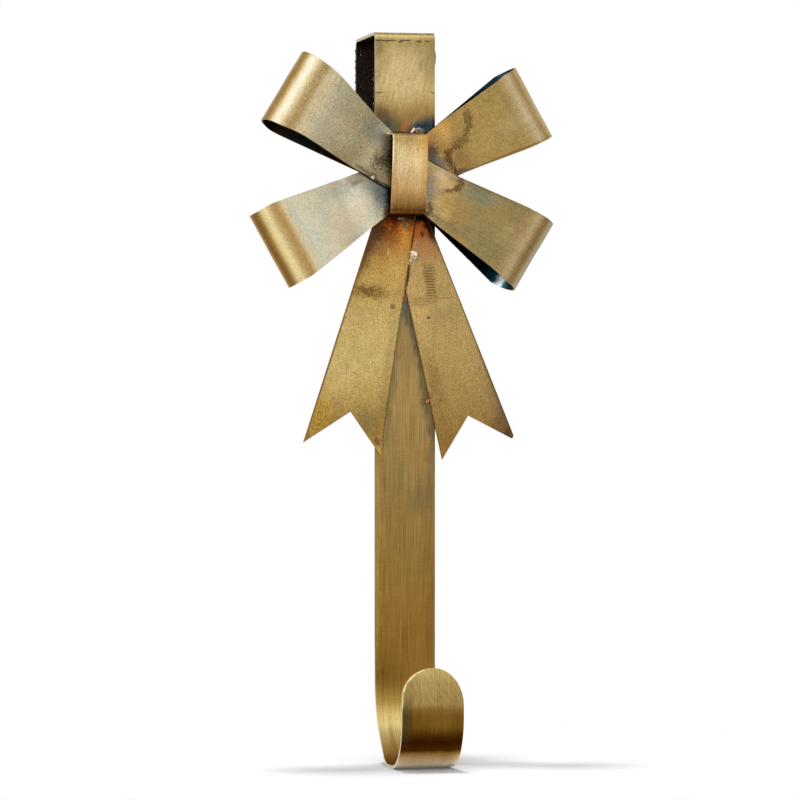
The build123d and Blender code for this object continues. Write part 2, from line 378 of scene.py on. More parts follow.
def widened(bm, across):
    """Pull the drawn line sideways into a strip, in cells of the usual size."""
    cells = max(2, round(across.length / CELL))
    edges = bm.edges[:]
    for _ in range(cells):
        pulled = bmesh.ops.extrude_edge_only(bm, edges=edges)["geom"]
        verts = [item for item in pulled if isinstance(item, bmesh.types.BMVert)]
        edges = [item for item in pulled if isinstance(item, bmesh.types.BMEdge)]
        edges = [edge for edge in edges if all(vert in verts for vert in edge.verts)]
        bmesh.ops.translate(bm, verts=verts, vec=across / cells)


def facing(bm, wanted):
    """Turn all faces of a sheet to the side where the wanted test of a face holds for most of them."""
    bmesh.ops.recalc_face_normals(bm, faces=bm.faces)
    votes = sum(1 if wanted(face) > 0 else -1 for face in bm.faces)
    if votes < 0:
        bmesh.ops.reverse_faces(bm, faces=bm.faces)


print("cells of", CELL, "mm, bends in steps of", BEND_STEP, "degrees")

# %% [markdown]
# A drawn sheet then becomes a piece of the hanger. The hammer leaves it slightly uneven, but not at the
# sides of the part's box, where it would stick out. One modifier gives the sheet its thickness and
# another breaks its sharp edges. At the end the piece takes the place of its solid.

# %% Helpers for pieces
STILL_RIM, CALM_RIM = 1.0, 8.0
SHARP_ANGLE = 50.0


def share_of(measure, full):
    """How much of a full measure there is, from 0 to 1."""
    return min(1.0, max(0.0, measure / full))


def hammered(bm, size, depth):
    """Move a sheet up and down a little, less and less towards the sides of the part's box."""
    bm.normal_update()
    for vert in bm.verts:
        room = min(min(vert.co - cad_low), min(cad_high - vert.co))
        share = share_of(room - STILL_RIM, CALM_RIM)
        vert.co += vert.normal * (depth * share * noise.noise(vert.co / size))


def finished(bm, name, materials, node, thickness=0.0, edge=0.12):
    """Turn a drawn piece into an object of the part, in place of its solid."""
    bmesh.ops.scale(bm, vec=(MM, MM, MM), verts=bm.verts)
    mesh = bpy.data.meshes.new(name)
    bm.to_mesh(mesh)
    bm.free()
    mesh.shade_smooth()
    piece = bpy.data.objects.new(name, mesh)
    bpy.context.scene.collection.objects.link(piece)
    for material in materials:
        mesh.materials.append(material)
    if thickness:
        solid = piece.modifiers.new("sheet", "SOLIDIFY")
        solid.thickness = thickness * MM
        solid.offset = 0.0
        solid.use_even_offset = True
        solid.material_offset = 1
        solid.material_offset_rim = 2
        rounded = piece.modifiers.new("filed edge", "BEVEL")
        rounded.width = edge * MM
        rounded.segments = 2
        rounded.limit_method = "ANGLE"
        rounded.angle_limit = radians(SHARP_ANGLE)
        rounded.harden_normals = True
    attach(piece, "root")
    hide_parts(node)
    print(name, len(mesh.polygons), "faces")
    return piece


print("the hammer stays", STILL_RIM, "mm away from the sides of the box")

# %% [markdown]
# ## Finishes
# All the metal is brass, but no two pieces have the same skin. Each finish starts from object coordinates
# in millimetres, gets a run of colours along the piece, then brush lines, clouds, stains and specks. The
# helpers make an empty finish and close it with the shader. A bump of a hundredth of a millimetre
# roughens the gloss.

# %% Helpers for finishes
GRAZING_TINT = (0.92, 0.84, 0.7, 1.0)


def new_finish(name):
    """An empty finish and its coordinates in millimetres."""
    finish = bpy.data.materials.new(name)
    finish.use_nodes = True
    finish.node_tree.nodes.clear()
    coordinates = Wire(finish.node_tree).node("ShaderNodeTexCoord", {}, {}, output="Object")
    return finish, coordinates.vector("SCALE", scale=1 / MM)


def closed(finish, values):
    """Close a finish with the shader and its values."""
    wire = Wire(finish.node_tree)
    shader = wire.node("ShaderNodeBsdfPrincipled", {}, values)
    wire.node("ShaderNodeOutputMaterial", {}, {"Surface": shader})
    print(finish.name, len(finish.node_tree.nodes), "nodes")


def metal(finish, colour, roughness, relief=None):
    """Close a metal finish: its colour, its roughness and a fine relief in millimetres."""
    values = {"Base Color": colour, "Metallic": 1.0, "Roughness": roughness, "Specular Tint": GRAZING_TINT}
    if relief is not None:
        bump = {"Height": relief, "Distance": MM, "Strength": 1.0}
        values["Normal"] = relief.node("ShaderNodeBump", {}, bump)
    closed(finish, values)


# %% [markdown]
# ## Strap
# The strap was brushed lengthwise and then aged. It is pale at the top, goes dark and blue where the bow
# was welded on, and turns brown towards the hook. A ramp along the height gives that run of colours; the
# bright band over the top fold and the pale band inside the hook are partly painted highlight. The lip
# has a ramp of its own, so the distance in front of the door decides which of the two shows. The deep
# brown band on its nose is partly patina and partly a painted reflection of the dark room in front, and
# the pale and grey bands under the nose are a painted reflection of the floor and of the shadow under
# the hook.

# %% Colours of the strap
LIP_FACE, LIP_BACK = -64, -58
strap_finish, place = new_finish("brushed_strap_brass")
ragged = place.ragged(7.0, 6.0)
# Partly painted highlight: the bright band over the top fold and the pale band inside the hook.
wall_bands_and_highlights = [
    (-361, (150, 120, 62)), (-357, (120, 92, 44)), (-355.3, (118, 90, 45)), (-352.4, (132, 104, 56)),
    (-349.6, (152, 126, 77)), (-346, (166, 145, 93)), (-342, (186, 166, 110)), (-337, (178, 154, 93)),
    (-331, (156, 126, 60)), (-323, (144, 109, 47)), (-300, (135, 99, 43)), (-270, (140, 108, 53)),
    (-235, (141, 113, 62)), (-180, (159, 130, 78)), (-150, (150, 124, 76)), (-132, (124, 104, 68)),
    (-50, (118, 102, 68)), (-42, (140, 116, 72)), (-36, (166, 138, 85)), (-26, (196, 170, 117)),
    (-12, (190, 167, 115)), (-4.5, (170, 146, 94)), (-3.2, (166, 142, 90)), (-1.5, (177, 157, 100)),
    (-0.3, (186, 162, 110)), (0.3, (198, 172, 110)), (0.9, (184, 160, 104)), (2, (150, 128, 84)),
]
# Painted reflection: the pale and grey bands under the nose mirror the floor and the hook's shadow;
# the deep brown band on the nose is partly patina and partly painted reflection of the dark room in front.
lip_bands_and_reflections = [
    (-361.5, (140, 142, 148)), (-360.7, (160, 158, 156)), (-360.1, (188, 180, 164)),
    (-359.4, (222, 209, 178)), (-358.6, (240, 224, 186)), (-356.5, (216, 187, 146)),
    (-353.5, (170, 132, 64)), (-351.4, (80, 42, 2)), (-347, (50, 21, 1)), (-343.5, (68, 40, 5)),
    (-340, (96, 66, 18)), (-334, (110, 78, 26)), (-331, (126, 95, 42)), (-328.5, (150, 124, 72)),
    (-318, (162, 137, 84)), (-311, (190, 165, 100)),
]
over_lip = place.axis("Y").fade(LIP_FACE, LIP_BACK)
waves = place.sway((4.0, 60.0, 60.0))
wall_colour = banded(place.axis("Z") + waves * 4.0, wall_bands_and_highlights)
lip_colour = banded(place.axis("Z") + waves * 1.2, lip_bands_and_reflections)
print("strap:", len(wall_bands_and_highlights), "colours on the wall,", len(lip_bands_and_reflections), "on the lip")

# %% [markdown]
# Brushing is noise that is stretched along the strokes. Above the bow the fine lines lean a little, and
# below it they stand upright. The lip was filed by hand in strokes that lean the other way, and under its
# nose the lines run across.

# %% Brush lines of the strap
FINE_LINE, WIDE_LINE = 0.42, 1.6
FINE_LEAN, WIDE_LEAN, STROKE_LEAN = -14, -3, 24
UPRIGHT_BELOW, SLANTED_ABOVE = -62, -34
STROKES_FROM, STROKES_FULL = -338, -326
NOSE_BELOW, NOSE_END = -355, -350
upright = place.axis("Z").fade(UPRIGHT_BELOW, SLANTED_ABOVE)
slanted = place.placed(turn=FINE_LEAN)
slanted_lines = slanted.grain((FINE_LINE, 9.0, 9.0), 3.0)
upright_lines = place.grain((FINE_LINE, 26.0, 26.0), 3.0)
fine_lines = slanted_lines * (1 - upright) + upright_lines * upright
wide_lines = place.placed(turn=WIDE_LEAN).grain((WIDE_LINE, 45.0, 45.0), 2.0)
cross_lines = place.sway((9.0, 9.0, 0.7), 2.0) * 0.2 * (1 - over_lip)
strokes = place.placed(turn=STROKE_LEAN).sway((0.6, 9.0, 5.0), 3.0)
strokes = strokes * over_lip * place.axis("Z").ramp(STROKES_FROM, STROKES_FULL, 0.0, 0.7)
under_nose = over_lip * place.axis("Z").fade(NOSE_BELOW, NOSE_END)
nose_lines = place.sway((8.0, 8.0, 0.5), 3.0) * under_nose * 0.5
print("brush lines", FINE_LINE, "and", WIDE_LINE, "mm wide")

# %% [markdown]
# Heat, fingers and knocks left stains: blue-black and copper above the bow, dark streaks along the tails,
# brown at the sides of the lip. The streaks along the tails are partly heat tint and partly painted shade
# cast by the tails, and a near-black patch under the lower right loop is a painted shadow. A painted
# picture of them would blur close up, so each stain is a soft ellipse, and noise makes its rim ragged.
# The rim of the lip was filed bright, and a bright band on the face along it is a painted highlight. A
# few nicks have hard rims, and a dark line along the top edge of the knot is painted shade. The stains
# are on the front only.

# %% Stains of the strap
BLUE_BLACK = (18, 52, 64)
streaks = slanted.sway((0.8, 9.0, 9.0), 3.0) * 1.5
strap_stains_and_shade = [
    (-7.0, -45.5, 7.5, 5.5, 0, 0.6, 0.7, (86, 84, 54)),
    (0.6, -45.0, 2.8, 3.6, 0, 0.5, 0.65, (172, 102, 62)),
    (-11.5, -43.6, 5.0, 5.0, -20, 0.5, 0.7, (62, 68, 64)),
    (7.0, -46.0, 5.0, 3.2, 0, 0.5, 0.85, (58, 62, 72)),
    (11.6, -45.0, 5.6, 4.8, 12, 0.5, 0.82, BLUE_BLACK),
    (14.8, -45.0, 1.3, 5.0, 0, 0.5, 0.9, (8, 12, 26)),
    (0.0, -38.5, 20.0, 3.6, 0, 0.8, 0.3, (146, 104, 54)),
    (13.0, -12.0, 5.0, 13.0, 0, 0.7, 0.4, (112, 98, 62)),
    (-13.2, -6.5, 2.4, 4.5, 0, 0.6, 0.55, (124, 102, 64)),
    (-13.5, -14.0, 3.0, 9.0, 0, 0.7, 0.3, (130, 112, 74)),
    (-2.0, -22.0, 7.0, 13.0, 10, 0.8, 0.3, (216, 196, 144)),
    # The next four streaks along the tails' edges are partly heat tint and partly painted shade.
    (-9.0, -143.0, 2.2, 17.0, -8, 0.7, 0.6, (70, 78, 74)),
    (-8.5, -176.0, 2.6, 34.0, -8, 0.7, 0.5, (88, 84, 66)),
    (4.4, -146.0, 2.2, 20.0, 12, 0.7, 0.6, (62, 70, 66)),
    (12.0, -184.0, 2.6, 32.0, 12, 0.7, 0.7, (72, 70, 56)),
    (-0.6, -135.0, 3.0, 7.0, 0, 0.6, 0.6, (78, 88, 80)),
    (0.6, -128.0, 3.0, 3.4, 0, 0.6, 0.8, (140, 84, 44)),
    # Painted shadow under the lower right loop.
    (13.0, -99.0, 4.5, 15.0, 0, 0.4, 0.95, (12, 9, 8)),
    (8.3, -229.0, 6.0, 9.0, 0, 0.8, 0.35, (100, 92, 66)),
    (-4.9, -219.0, 5.0, 8.0, 0, 0.8, 0.2, (108, 100, 72)),
    # Partly painted shade beside the foot of the right tail.
    (13.8, -212.0, 2.4, 16.0, 0, 0.8, 0.4, (92, 84, 62)),
    (-14.4, -262.0, 1.6, 66.0, 0, 0.8, 0.4, (172, 140, 68)),
    (-13.6, -38.0, 2.6, 4.0, 0, 0.7, 0.55, (98, 66, 42)),
    (13.0, -290.0, 3.0, 40.0, 0, 0.8, 0.25, (104, 66, 26)),
]
lip_stains = [
    (-13.4, -337.5, 3.2, 9.0, 0, 0.8, 0.7, (62, 48, 26)),
    (2.5, -336.0, 6.0, 4.5, 0, 0.9, 0.3, (134, 102, 46)),
    (-12.4, -324.0, 2.6, 6.0, -14, 0.8, 0.25, (124, 102, 60)),
]
FRONT_SKIN, FRONT_CORE = -25.2, -24.7
on_front = place.axis("Y").fade(FRONT_SKIN, FRONT_CORE)
colour = wall_colour.mixed(stained(wall_colour, ragged, strap_stains_and_shade, streaks), on_front)
# Painted highlight: a bright band on the lip's face along its left shoulder and top.
lip_rim_highlight = [
    (-15.0, -327.0, 0.4, 4.0, -3, 0.5, 0.7, (238, 224, 180)),
    (-14.2, -320.6, 0.55, 3.4, -20, 0.5, 0.85, (250, 236, 180)),
    (-10.6, -315.4, 0.6, 3.6, -46, 0.5, 0.85, (250, 236, 180)),
    (-6.3, -312.5, 0.5, 3.0, -66, 0.5, 0.6, (242, 224, 162)),
]
lip_colour = stained(lip_colour, ragged, lip_stains, streaks)
colour = colour.mixed(stained(lip_colour, place, lip_rim_highlight), over_lip)
nicks_and_shade_line = [
    (-13.6, -28.8, 2.6, 0.4, 4, 0.5, 0.7, (84, 60, 34)),
    (14.4, -28.6, 1.6, 0.4, -20, 0.5, 0.7, (84, 60, 34)),
    (-2.5, -3.5, 1.2, 0.4, 0, 0.5, 0.7, (84, 60, 30)),
    # Painted shade: a dark line on the strap along the top edge of the knot.
    (-1.0, -48.9, 16.0, 0.8, 0, 0.5, 0.85, (34, 28, 22)),
]
colour = colour.mixed(stained(colour, place, nicks_and_shade_line), on_front)
print("strap:", len(strap_stains_and_shade) + len(lip_stains), "stains,", len(nicks_and_shade_line), "nicks_and_shade_line")

# %% [markdown]
# The last layers lie over all of this. Lines, clouds and grit make the colour lighter and darker. The
# press that folded the strap left a broken dark line below the fold, the inside of the channel is darkened
# with painted shade, and a few dark dots are scattered everywhere.

# %% Strap finish
line_share = 1.0 + upright * 0.5 - over_lip * 0.8 - under_nose * 0.5
grit = place.sway(0.5, 2.0) * (1.0 - upright * 0.6)
clouds = place.sway(9.0, 3.0) * 0.2
tone = 1 + (fine_lines - 0.5) * line_share + (wide_lines - 0.5) * 0.24 + grit
tone = tone + nose_lines + clouds + cross_lines + strokes
colour = colour.vector("SCALE", scale=tone)
PRESS_LINE_DEPTH = 2.8
press_height = place.axis("Z") + PRESS_LINE_DEPTH + place.sway(3.0) * 1.2
press_line = abs(press_height).fade(0.15, 0.5) * place.axis("Y").fade(-25, -24)
press_line = press_line * place.grain(3.4, 1.0).ramp(0.34, 0.48)
colour = colour.mixed(linear(58, 44, 22), press_line * 0.85)
# Painted shade: the inside of the channel between the legs is darkened.
channel_shade = abs(place.axis("Y")).fade(24.3, 25.0) * place.axis("Z").fade(0.2, 1.0)
channel_shade = channel_shade * place.axis("Z").ramp(-60, -58)
colour = colour.mixed(linear(34, 26, 20), channel_shade * 0.95)
dots = place.ragged(0.8, 0.7).specks(5.0, 0.3, 0.08)
colour = colour.mixed(linear(70, 52, 30), dots * 0.7)
relief = fine_lines * 0.014 * (1 - under_nose * 0.8) + wide_lines * 0.01
metal(strap_finish, colour, 0.26 + fine_lines * 0.18, relief)

# %% [markdown]
# The cut edges of the strap were filed. They are bright at the top and round the lip and brown in
# between.

# %% Strap edge
strap_edge, place = new_finish("filed_strap_edge")
edge_bands = [
    (-361, (214, 206, 186)), (-330, (240, 230, 198)), (-312, (250, 232, 172)), (-300, (138, 106, 54)),
    (-140, (132, 104, 58)), (-50, (150, 118, 70)), (-30, (206, 182, 136)), (-3, (216, 196, 160)),
    (0.2, (226, 218, 206)),
]
worn = place.grain(1.6, 3.0)
colour = banded(place.axis("Z"), edge_bands).vector("SCALE", scale=0.7 + worn * 0.5)
metal(strap_edge, colour, 0.36)

# %% [markdown]
# The strap is drawn from the foot of its back leg: up, over the door and down, with the hook as three
# bends. Its end is trimmed round by cuts along two quarter ellipses. A file leaves the two shoulders a
# little unequal, and so do the two numbers. No hand bends a nose quite straight, so it is twisted by
# about a millimetre from side to side.

# %% Strap
strap_width = strap_high.x - strap_low.x
overall_height = strap_high.z - strap_low.z
half_sheet = strap_thickness / 2
FOLD_INSIDE = 2.5
FOLD_RADIUS = FOLD_INSIDE + half_sheet
BACK_LEG = 65.0
ENTRY_RADIUS, ENTRY_TURN = 40.0, 45.0
SLOPE_RUN = 13.0
HEEL_RADIUS = 16.0
FLOOR_RUN = 9.8
NOSE_RADIUS = 25.5
LIP_HEIGHT = 50.5
LIP_SHOULDERS = {-1: 14.5, 1: 18.5}
LIP_CUTS = 14
slope = radians(ENTRY_TURN)
hook_drop = ENTRY_RADIUS * sin(slope) + SLOPE_RUN * cos(slope) + HEEL_RADIUS * (1 - sin(slope))
front_run = overall_height - strap_thickness - FOLD_INSIDE - hook_drop - half_sheet
lip_tip = strap_low.z + LIP_HEIGHT
strap_moves = [
    (BACK_LEG - FOLD_INSIDE, FOLD_RADIUS, 90),
    (inner_gap - 2 * FOLD_INSIDE, FOLD_RADIUS, 90),
    (front_run, ENTRY_RADIUS, -ENTRY_TURN),
    (SLOPE_RUN, HEEL_RADIUS, ENTRY_TURN - 90),
    (FLOOR_RUN, NOSE_RADIUS, -90),
    (LIP_HEIGHT - NOSE_RADIUS - half_sheet, 0, 0),
]
bm = bmesh.new()
back_foot = (-strap_width / 2, inner_gap / 2 + half_sheet, -BACK_LEG)
drawn_line(bm, back_foot, (0, 0, 1), (1, 0, 0), strap_moves)
widened(bm, Vector((strap_width, 0, 0)))
for side, shoulder in LIP_SHOULDERS.items():
    for cut in range(LIP_CUTS + 1):
        around = radians(90 * cut / LIP_CUTS)
        point = Vector((side * strap_width / 2 * sin(around), 0, lip_tip - shoulder * (1 - cos(around))))
        outward = Vector((side * sin(around) / (strap_width / 2), 0, cos(around) / shoulder))
        lip = [face for face in bm.faces if face.calc_center_median().y < strap_low.y + strap_thickness]
        lip = [face for face in lip if face.calc_center_median().z > strap_low.z + NOSE_RADIUS]
        around_lip = {item for face in lip for item in (face, *face.edges, *face.verts)}
        bmesh.ops.bisect_plane(
            bm, geom=list(around_lip), dist=1e-4, plane_co=point, plane_no=outward, clear_outer=True
        )
NOSE_TWIST = 1.1
TWIST_FRONT, TWIST_DEPTH = -55.0, 20.0
TWIST_TOP, TWIST_FALL = -330.0, 18.0
for vert in bm.verts:
    ahead = share_of(TWIST_FRONT - vert.co.y, TWIST_DEPTH)
    low_down = share_of(TWIST_TOP - vert.co.z, TWIST_FALL)
    vert.co.z += NOSE_TWIST * ahead * low_down * (vert.co.x / strap_width + 0.5)
hammered(bm, size=28.0, depth=0.25)
strap_skin = [strap_finish, strap_finish, strap_edge]
finished(bm, "folded_strap", strap_skin, "strap", strap_thickness, edge=0.2)

# %% [markdown]
# ## Felt pads
# Two strips of black felt keep the brass off the door. Felt has no clean edge: fibres stand out all round
# it and wrap over the strap's sides. Hair particles could do that, but real little spikes survive an
# export. A slab with soft edges is the core, and thousands of three-sided spikes are the fuzz. A few pale
# bits of lint stick to it.

# %% Felt finish
felt, place = new_finish("black_felt")
fuzz = place.grain(0.9, 4.0)
felt_colour = banded(fuzz, [(0.3, (9, 6, 4)), (0.5, (31, 22, 15)), (0.68, (58, 46, 36))])
# Painted sheen: the left side of the felt is lighter where light catches the fuzz.
felt_rim_sheen = place.axis("X").ramp(-15.3, -14.7, 0.45, 0.0)
felt_colour = felt_colour.mixed(linear(104, 92, 80), felt_rim_sheen)
felt_values = {
    "Base Color": felt_colour, "Roughness": 0.95, "Specular IOR Level": 0.12,
    "Normal": fuzz.node("ShaderNodeBump", {}, {"Height": fuzz * 0.6, "Distance": MM}),
}
closed(felt, felt_values)
lint, place = new_finish("pale_lint")
closed(lint, {"Base Color": linear(225, 224, 220), "Roughness": 0.9})

# %% [markdown]
# A fibre is a thin spike with three sides. Fibres start all over the free faces of a pad and point away
# from them. Dice with a fixed seed choose their places, so that every run gives the same fuzz.

# %% Helpers for fibres
SKIN_FIBRES = 2000


def spike(bm, root, toward, length, thickness):
    """One fibre: a three-sided spike from its root."""
    upright = toward.to_track_quat("Z", "Y").to_matrix().to_4x4()
    middle = Matrix.Translation(root + toward.normalized() * (length / 2))
    return bmesh.ops.create_cone(
        bm, segments=3, radius1=thickness, radius2=thickness * 0.3, depth=length, matrix=middle @ upright
    )["verts"]


def any_way(dice):
    """A random vector."""
    return Vector([dice.uniform(-1, 1) for axis in range(3)])


def fuzz_fibres(dice, low, high, free_side):
    """Fibres all over the free faces of a slab: root, direction, length, thickness, finish."""
    fibres = []
    for _ in range(SKIN_FIBRES):
        root = Vector([dice.uniform(low[axis], high[axis]) for axis in range(3)])
        toward = any_way(dice)
        choice = dice.random()
        if choice < 0.6:
            root.y = high.y if free_side > 0 else low.y
            toward.y = free_side * dice.uniform(0.3, 1.2)
        elif choice < 0.9:
            side = dice.choice((-1, 1))
            root.x = high.x if side > 0 else low.x
            toward.x = side * dice.uniform(0.4, 1.2)
        else:
            root.z = low.z
            toward.z = -1
        fibres.append((root, toward, dice.uniform(0.4, 1.1), dice.uniform(0.03, 0.07), 0))
    return fibres


print("felt:", SKIN_FIBRES, "fibres on the skin of a pad")

# %% [markdown]
# A pad is put together from three things: a slab whose skin noise moves in and out, nubs, and fibres. The
# fibres are made in small tufts, because adding one spike to a large mesh takes long.

# %% Helper for a pad
TUFT = 100
FELT_WAVE, FELT_WAVE_SIZE, FELT_SHRINK = 0.2, 1.8, 0.12


def felt_pad(name, node, free_side, seed, fringes, lumps, flecks):
    """A slab of felt with fuzz; fringes are extra rows of fibres, lumps are swellings, flecks are lint."""
    dice = random.Random(seed)
    low, high = (Vector(corner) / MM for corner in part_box(node))
    bm = bmesh.new()
    middle = Matrix.Translation((low + high) / 2) @ Matrix.Diagonal((*(high - low), 1.0))
    bmesh.ops.create_cube(bm, size=1.0, matrix=middle)
    bmesh.ops.subdivide_edges(bm, edges=bm.edges[:], cuts=24, use_grid_fill=True)
    bm.normal_update()
    for vert in bm.verts:
        vert.co += vert.normal * (FELT_WAVE * noise.noise(vert.co / FELT_WAVE_SIZE) - FELT_SHRINK)
    for place, size in lumps:
        swelling = Matrix.Translation(place) @ Matrix.Diagonal((*size, 1.0))
        bmesh.ops.create_icosphere(bm, subdivisions=2, radius=1.0, matrix=swelling)
    fibres = fuzz_fibres(dice, low, high, free_side)
    for count, corner, far_corner, toward, length in fringes:
        for _ in range(count):
            root = Vector([dice.uniform(a, b) for a, b in zip(corner, far_corner)])
            reach = length * dice.uniform(0.4, 1.2)
            fibres.append((root, Vector(toward) + any_way(dice) * 0.9, reach, dice.uniform(0.05, 0.14), 0))
    for place in flecks:
        for _ in range(3):
            fibres.append((Vector(place), any_way(dice), dice.uniform(0.3, 0.8), 0.1, 1))
    spare = bpy.data.meshes.new("spare")
    for first in range(0, len(fibres), TUFT):
        tuft = bmesh.new()
        for root, toward, length, thickness, finish in fibres[first:first + TUFT]:
            for vert in spike(tuft, root, toward, length, thickness):
                for face in vert.link_faces:
                    face.material_index = finish
        tuft.to_mesh(spare)
        tuft.free()
        bm.from_mesh(spare)
    bpy.data.meshes.remove(spare)
    pad = finished(bm, name, [felt, lint], node)


print("tufts of", TUFT, "fibres")

# %% [markdown]
# Felt that stands out beyond the strap has fringes of longer fibres, nubs and a few flecks of lint. Each
# fringe is a number of fibres, two corners of the box they start from, a direction and a length. The two
# pads are not alike: the back one shows its face through the channel, and the front one only its sides.

# %% Felt pads
edge_x = strap_width / 2
door_side = inner_gap / 2
front_fringes = [
    (300, (-edge_x + 0.2, -door_side + 0.3, -52), (-edge_x + 0.5, -door_side + 1.8, -14), (-1, 0.2, 0), 0.8),
    (120, (edge_x - 0.2, -door_side, -40), (edge_x, -door_side + 1.6, -4), (1, 0, 0), 0.5),
]
front_lumps = [((edge_x + 0.1, -door_side + 0.9, -11.0), (0.8, 0.8, 4.6))]
nub_heights = (-19.0, -26.0, -29.6, -36.5, -41.0)
front_lumps += [((-edge_x + 0.1, -door_side + 0.9, z), (0.6, 0.7, 0.5)) for z in nub_heights]
lint_heights = (-21.0, -22.4, -26.5, -30.6, -34.2, -39.0, -41.2, -44.6, -46.2)
front_flecks = [(-edge_x - 0.4, -door_side + 0.8, z) for z in lint_heights]
back_fringes = [
    (900, (-edge_x - 0.1, door_side - 1.6, -62), (-edge_x + 0.2, door_side + 0.7, -3.5), (-1, -0.3, 0), 0.8),
    (300, (-edge_x + 0.4, door_side - 2.2, -62), (edge_x, door_side - 1.6, -4), (0, -1, 0), 1.0),
]
NUBS, FIRST_NUB, NUB_STEP = 16, -5.0, 3.6
nub_dice = random.Random(5)
back_lumps = []
for row in range(NUBS):
    depth = door_side + nub_dice.uniform(-1.4, 0.2)
    nub_height = FIRST_NUB - row * NUB_STEP + nub_dice.uniform(-1.2, 1.2)
    nub_size = [nub_dice.uniform(0.4, 0.75) for axis in range(3)]
    back_lumps.append(((-edge_x - 0.1, depth, nub_height), nub_size))
back_flecks = [(x, door_side - 2.0, z) for x, z in ((-13.4, -4.6), (-13.2, -6.2), (-12.0, -33.0))]
felt_pad("front_felt_pad", "felt_pad_front", 1, 3, front_fringes, front_lumps, front_flecks)
felt_pad("back_felt_pad", "felt_pad_back", -1, 8, back_fringes, back_lumps, back_flecks)

# %% [markdown]
# ## Tails
# The two tails are flat plates, heated when they were welded under the knot: almost black there, then
# copper, then gold. The finish gets its run of colours from the height. Stains of three kinds lie over
# it: soft ones, thin ones along the sides, and dirt, whose rim crumbles. On the right tail one soft stain
# is a painted shadow of the lower right loop.

# %% Helper for the tails' finish
RUST = (164, 84, 34)
RUST_FOOT, RUST_TOP = (-106, -98), (-96, -91)


def tail_brass(name, bands, stains, thin_stains, dirt, dirt_share):
    """Finish of a tail: colours along its height, rust, stains, dirt, brush lines, clouds and specks."""
    finish, place = new_finish(name)
    ragged = place.ragged(6.0, 5.0)
    crumbs = place.sway(0.9, 4.0) * 1.6
    level = place.axis("Z") + place.sway((5.0, 5.0, 12.0), 3.0) * 8.0
    colour = banded(level, bands)
    rust = place.grain(1.6, 4.0).ramp(0.38, 0.7) * level.ramp(*RUST_FOOT) * level.fade(*RUST_TOP)
    colour = colour.mixed(linear(*RUST), rust * 0.7)
    colour = stained(colour, ragged, stains, crumbs)
    colour = stained(colour, place, thin_stains, crumbs * 0.5)
    colour = stained(colour, ragged, dirt, crumbs * 2.4)
    lines = place.grain((0.45, 0.45, 8.0), 3.0)
    clouds = place.grain(6.0, 4.0)
    mottle = place.grain(1.1, 3.0)
    grit = place.sway(0.42, 2.0)
    tone = 1 + (lines - 0.5) * 0.4 + (clouds - 0.5) * 0.3 + (mottle - 0.5) * 0.45 + grit * 1.7
    colour = colour.vector("SCALE", scale=tone)
    loose = place.ragged(0.7, 0.9)
    dust = loose.specks(1.5, dirt_share, 0.24) * clouds.ramp(0.4, 0.6)
    colour = colour.mixed(linear(84, 58, 26), dust * 0.75)
    spots = loose.specks(6.0, 0.25, 0.08)
    colour = colour.mixed(linear(56, 36, 20), spots * 0.7)
    return finish, place, colour, lines * 0.01 + mottle * 0.015


print("rust of the tails from", RUST_FOOT[0], "to", RUST_TOP[1], "mm")

# %% [markdown]
# The left tail is the lighter of the two. Close to its outer tip lies a swirl of residue. It is drawn as
# rings round the middle of an ellipse, and noise makes them waver.

# %% Left tail finish
SWIRL = (-43.6, -189.5, 5.6, 9.6, -22)
SWIRL_RINGS = 4.0
left_bands = [
    (-211, (206, 170, 78)), (-205, (164, 132, 67)), (-198, (150, 118, 62)), (-188, (158, 128, 70)),
    (-176, (182, 154, 92)), (-165, (192, 167, 106)), (-146, (192, 165, 104)), (-136, (186, 158, 98)),
    (-128, (176, 145, 82)), (-119, (182, 148, 82)), (-110, (170, 128, 65)), (-103, (146, 98, 48)),
    (-98, (116, 63, 26)), (-94, (82, 37, 13)), (-90, (36, 15, 6)), (-74, (14, 6, 3)),
]
left_stains = [
    (-17.0, -97.5, 4.0, 5.5, -18, 0.7, 0.65, (70, 42, 22)),
    (-15.5, -103.0, 4.0, 5.5, -18, 0.7, 0.5, (98, 74, 62)),
    (-18.2, -104.0, 3.0, 14.0, -18, 0.8, 0.65, (80, 54, 32)),
    (-13.0, -95.0, 3.0, 5.0, -18, 0.7, 0.6, (66, 36, 18)),
    (-9.0, -170.0, 2.5, 34.0, -8, 0.8, 0.35, (130, 102, 52)),
    (-5.5, -120.0, 4.0, 12.0, -10, 0.8, 0.3, (216, 176, 100)),
    (-0.4, -101.0, 3.2, 6.0, -8, 0.8, 0.6, (212, 146, 62)),
    (-6.1, -135.2, 1.3, 1.2, 0, 0.4, 0.7, (104, 72, 58)),
    (-20.0, -192.0, 5.0, 6.5, 20, 0.7, 0.4, (118, 108, 72)),
    (-14.2, -202.3, 1.4, 1.6, 0, 0.4, 0.75, (112, 70, 46)),
    (-33.0, -172.0, 9.0, 8.0, 0, 0.9, 0.25, (206, 180, 116)),
]
left_thin_stains = [
    (*SWIRL, 0.25, 0.5, (190, 148, 60)),
    (-6.6, -168.0, 0.6, 41.0, -8.2, 0.5, 0.75, (84, 58, 26)),
    (-20.9, -109.0, 1.5, 20.0, -18, 0.7, 0.65, (88, 54, 24)),
    (-37.7, -160.0, 0.7, 42.0, -18, 0.6, 0.75, (92, 60, 26)),
    (-0.4, -94.6, 0.9, 2.2, 15, 0.5, 0.8, (84, 78, 66)),
    (2.9, -101.0, 0.35, 6.5, -8, 0.5, 0.6, (190, 124, 40)),
    (-8.8, -108.0, 0.4, 1.6, -8, 0.5, 0.6, (226, 190, 110)),
]
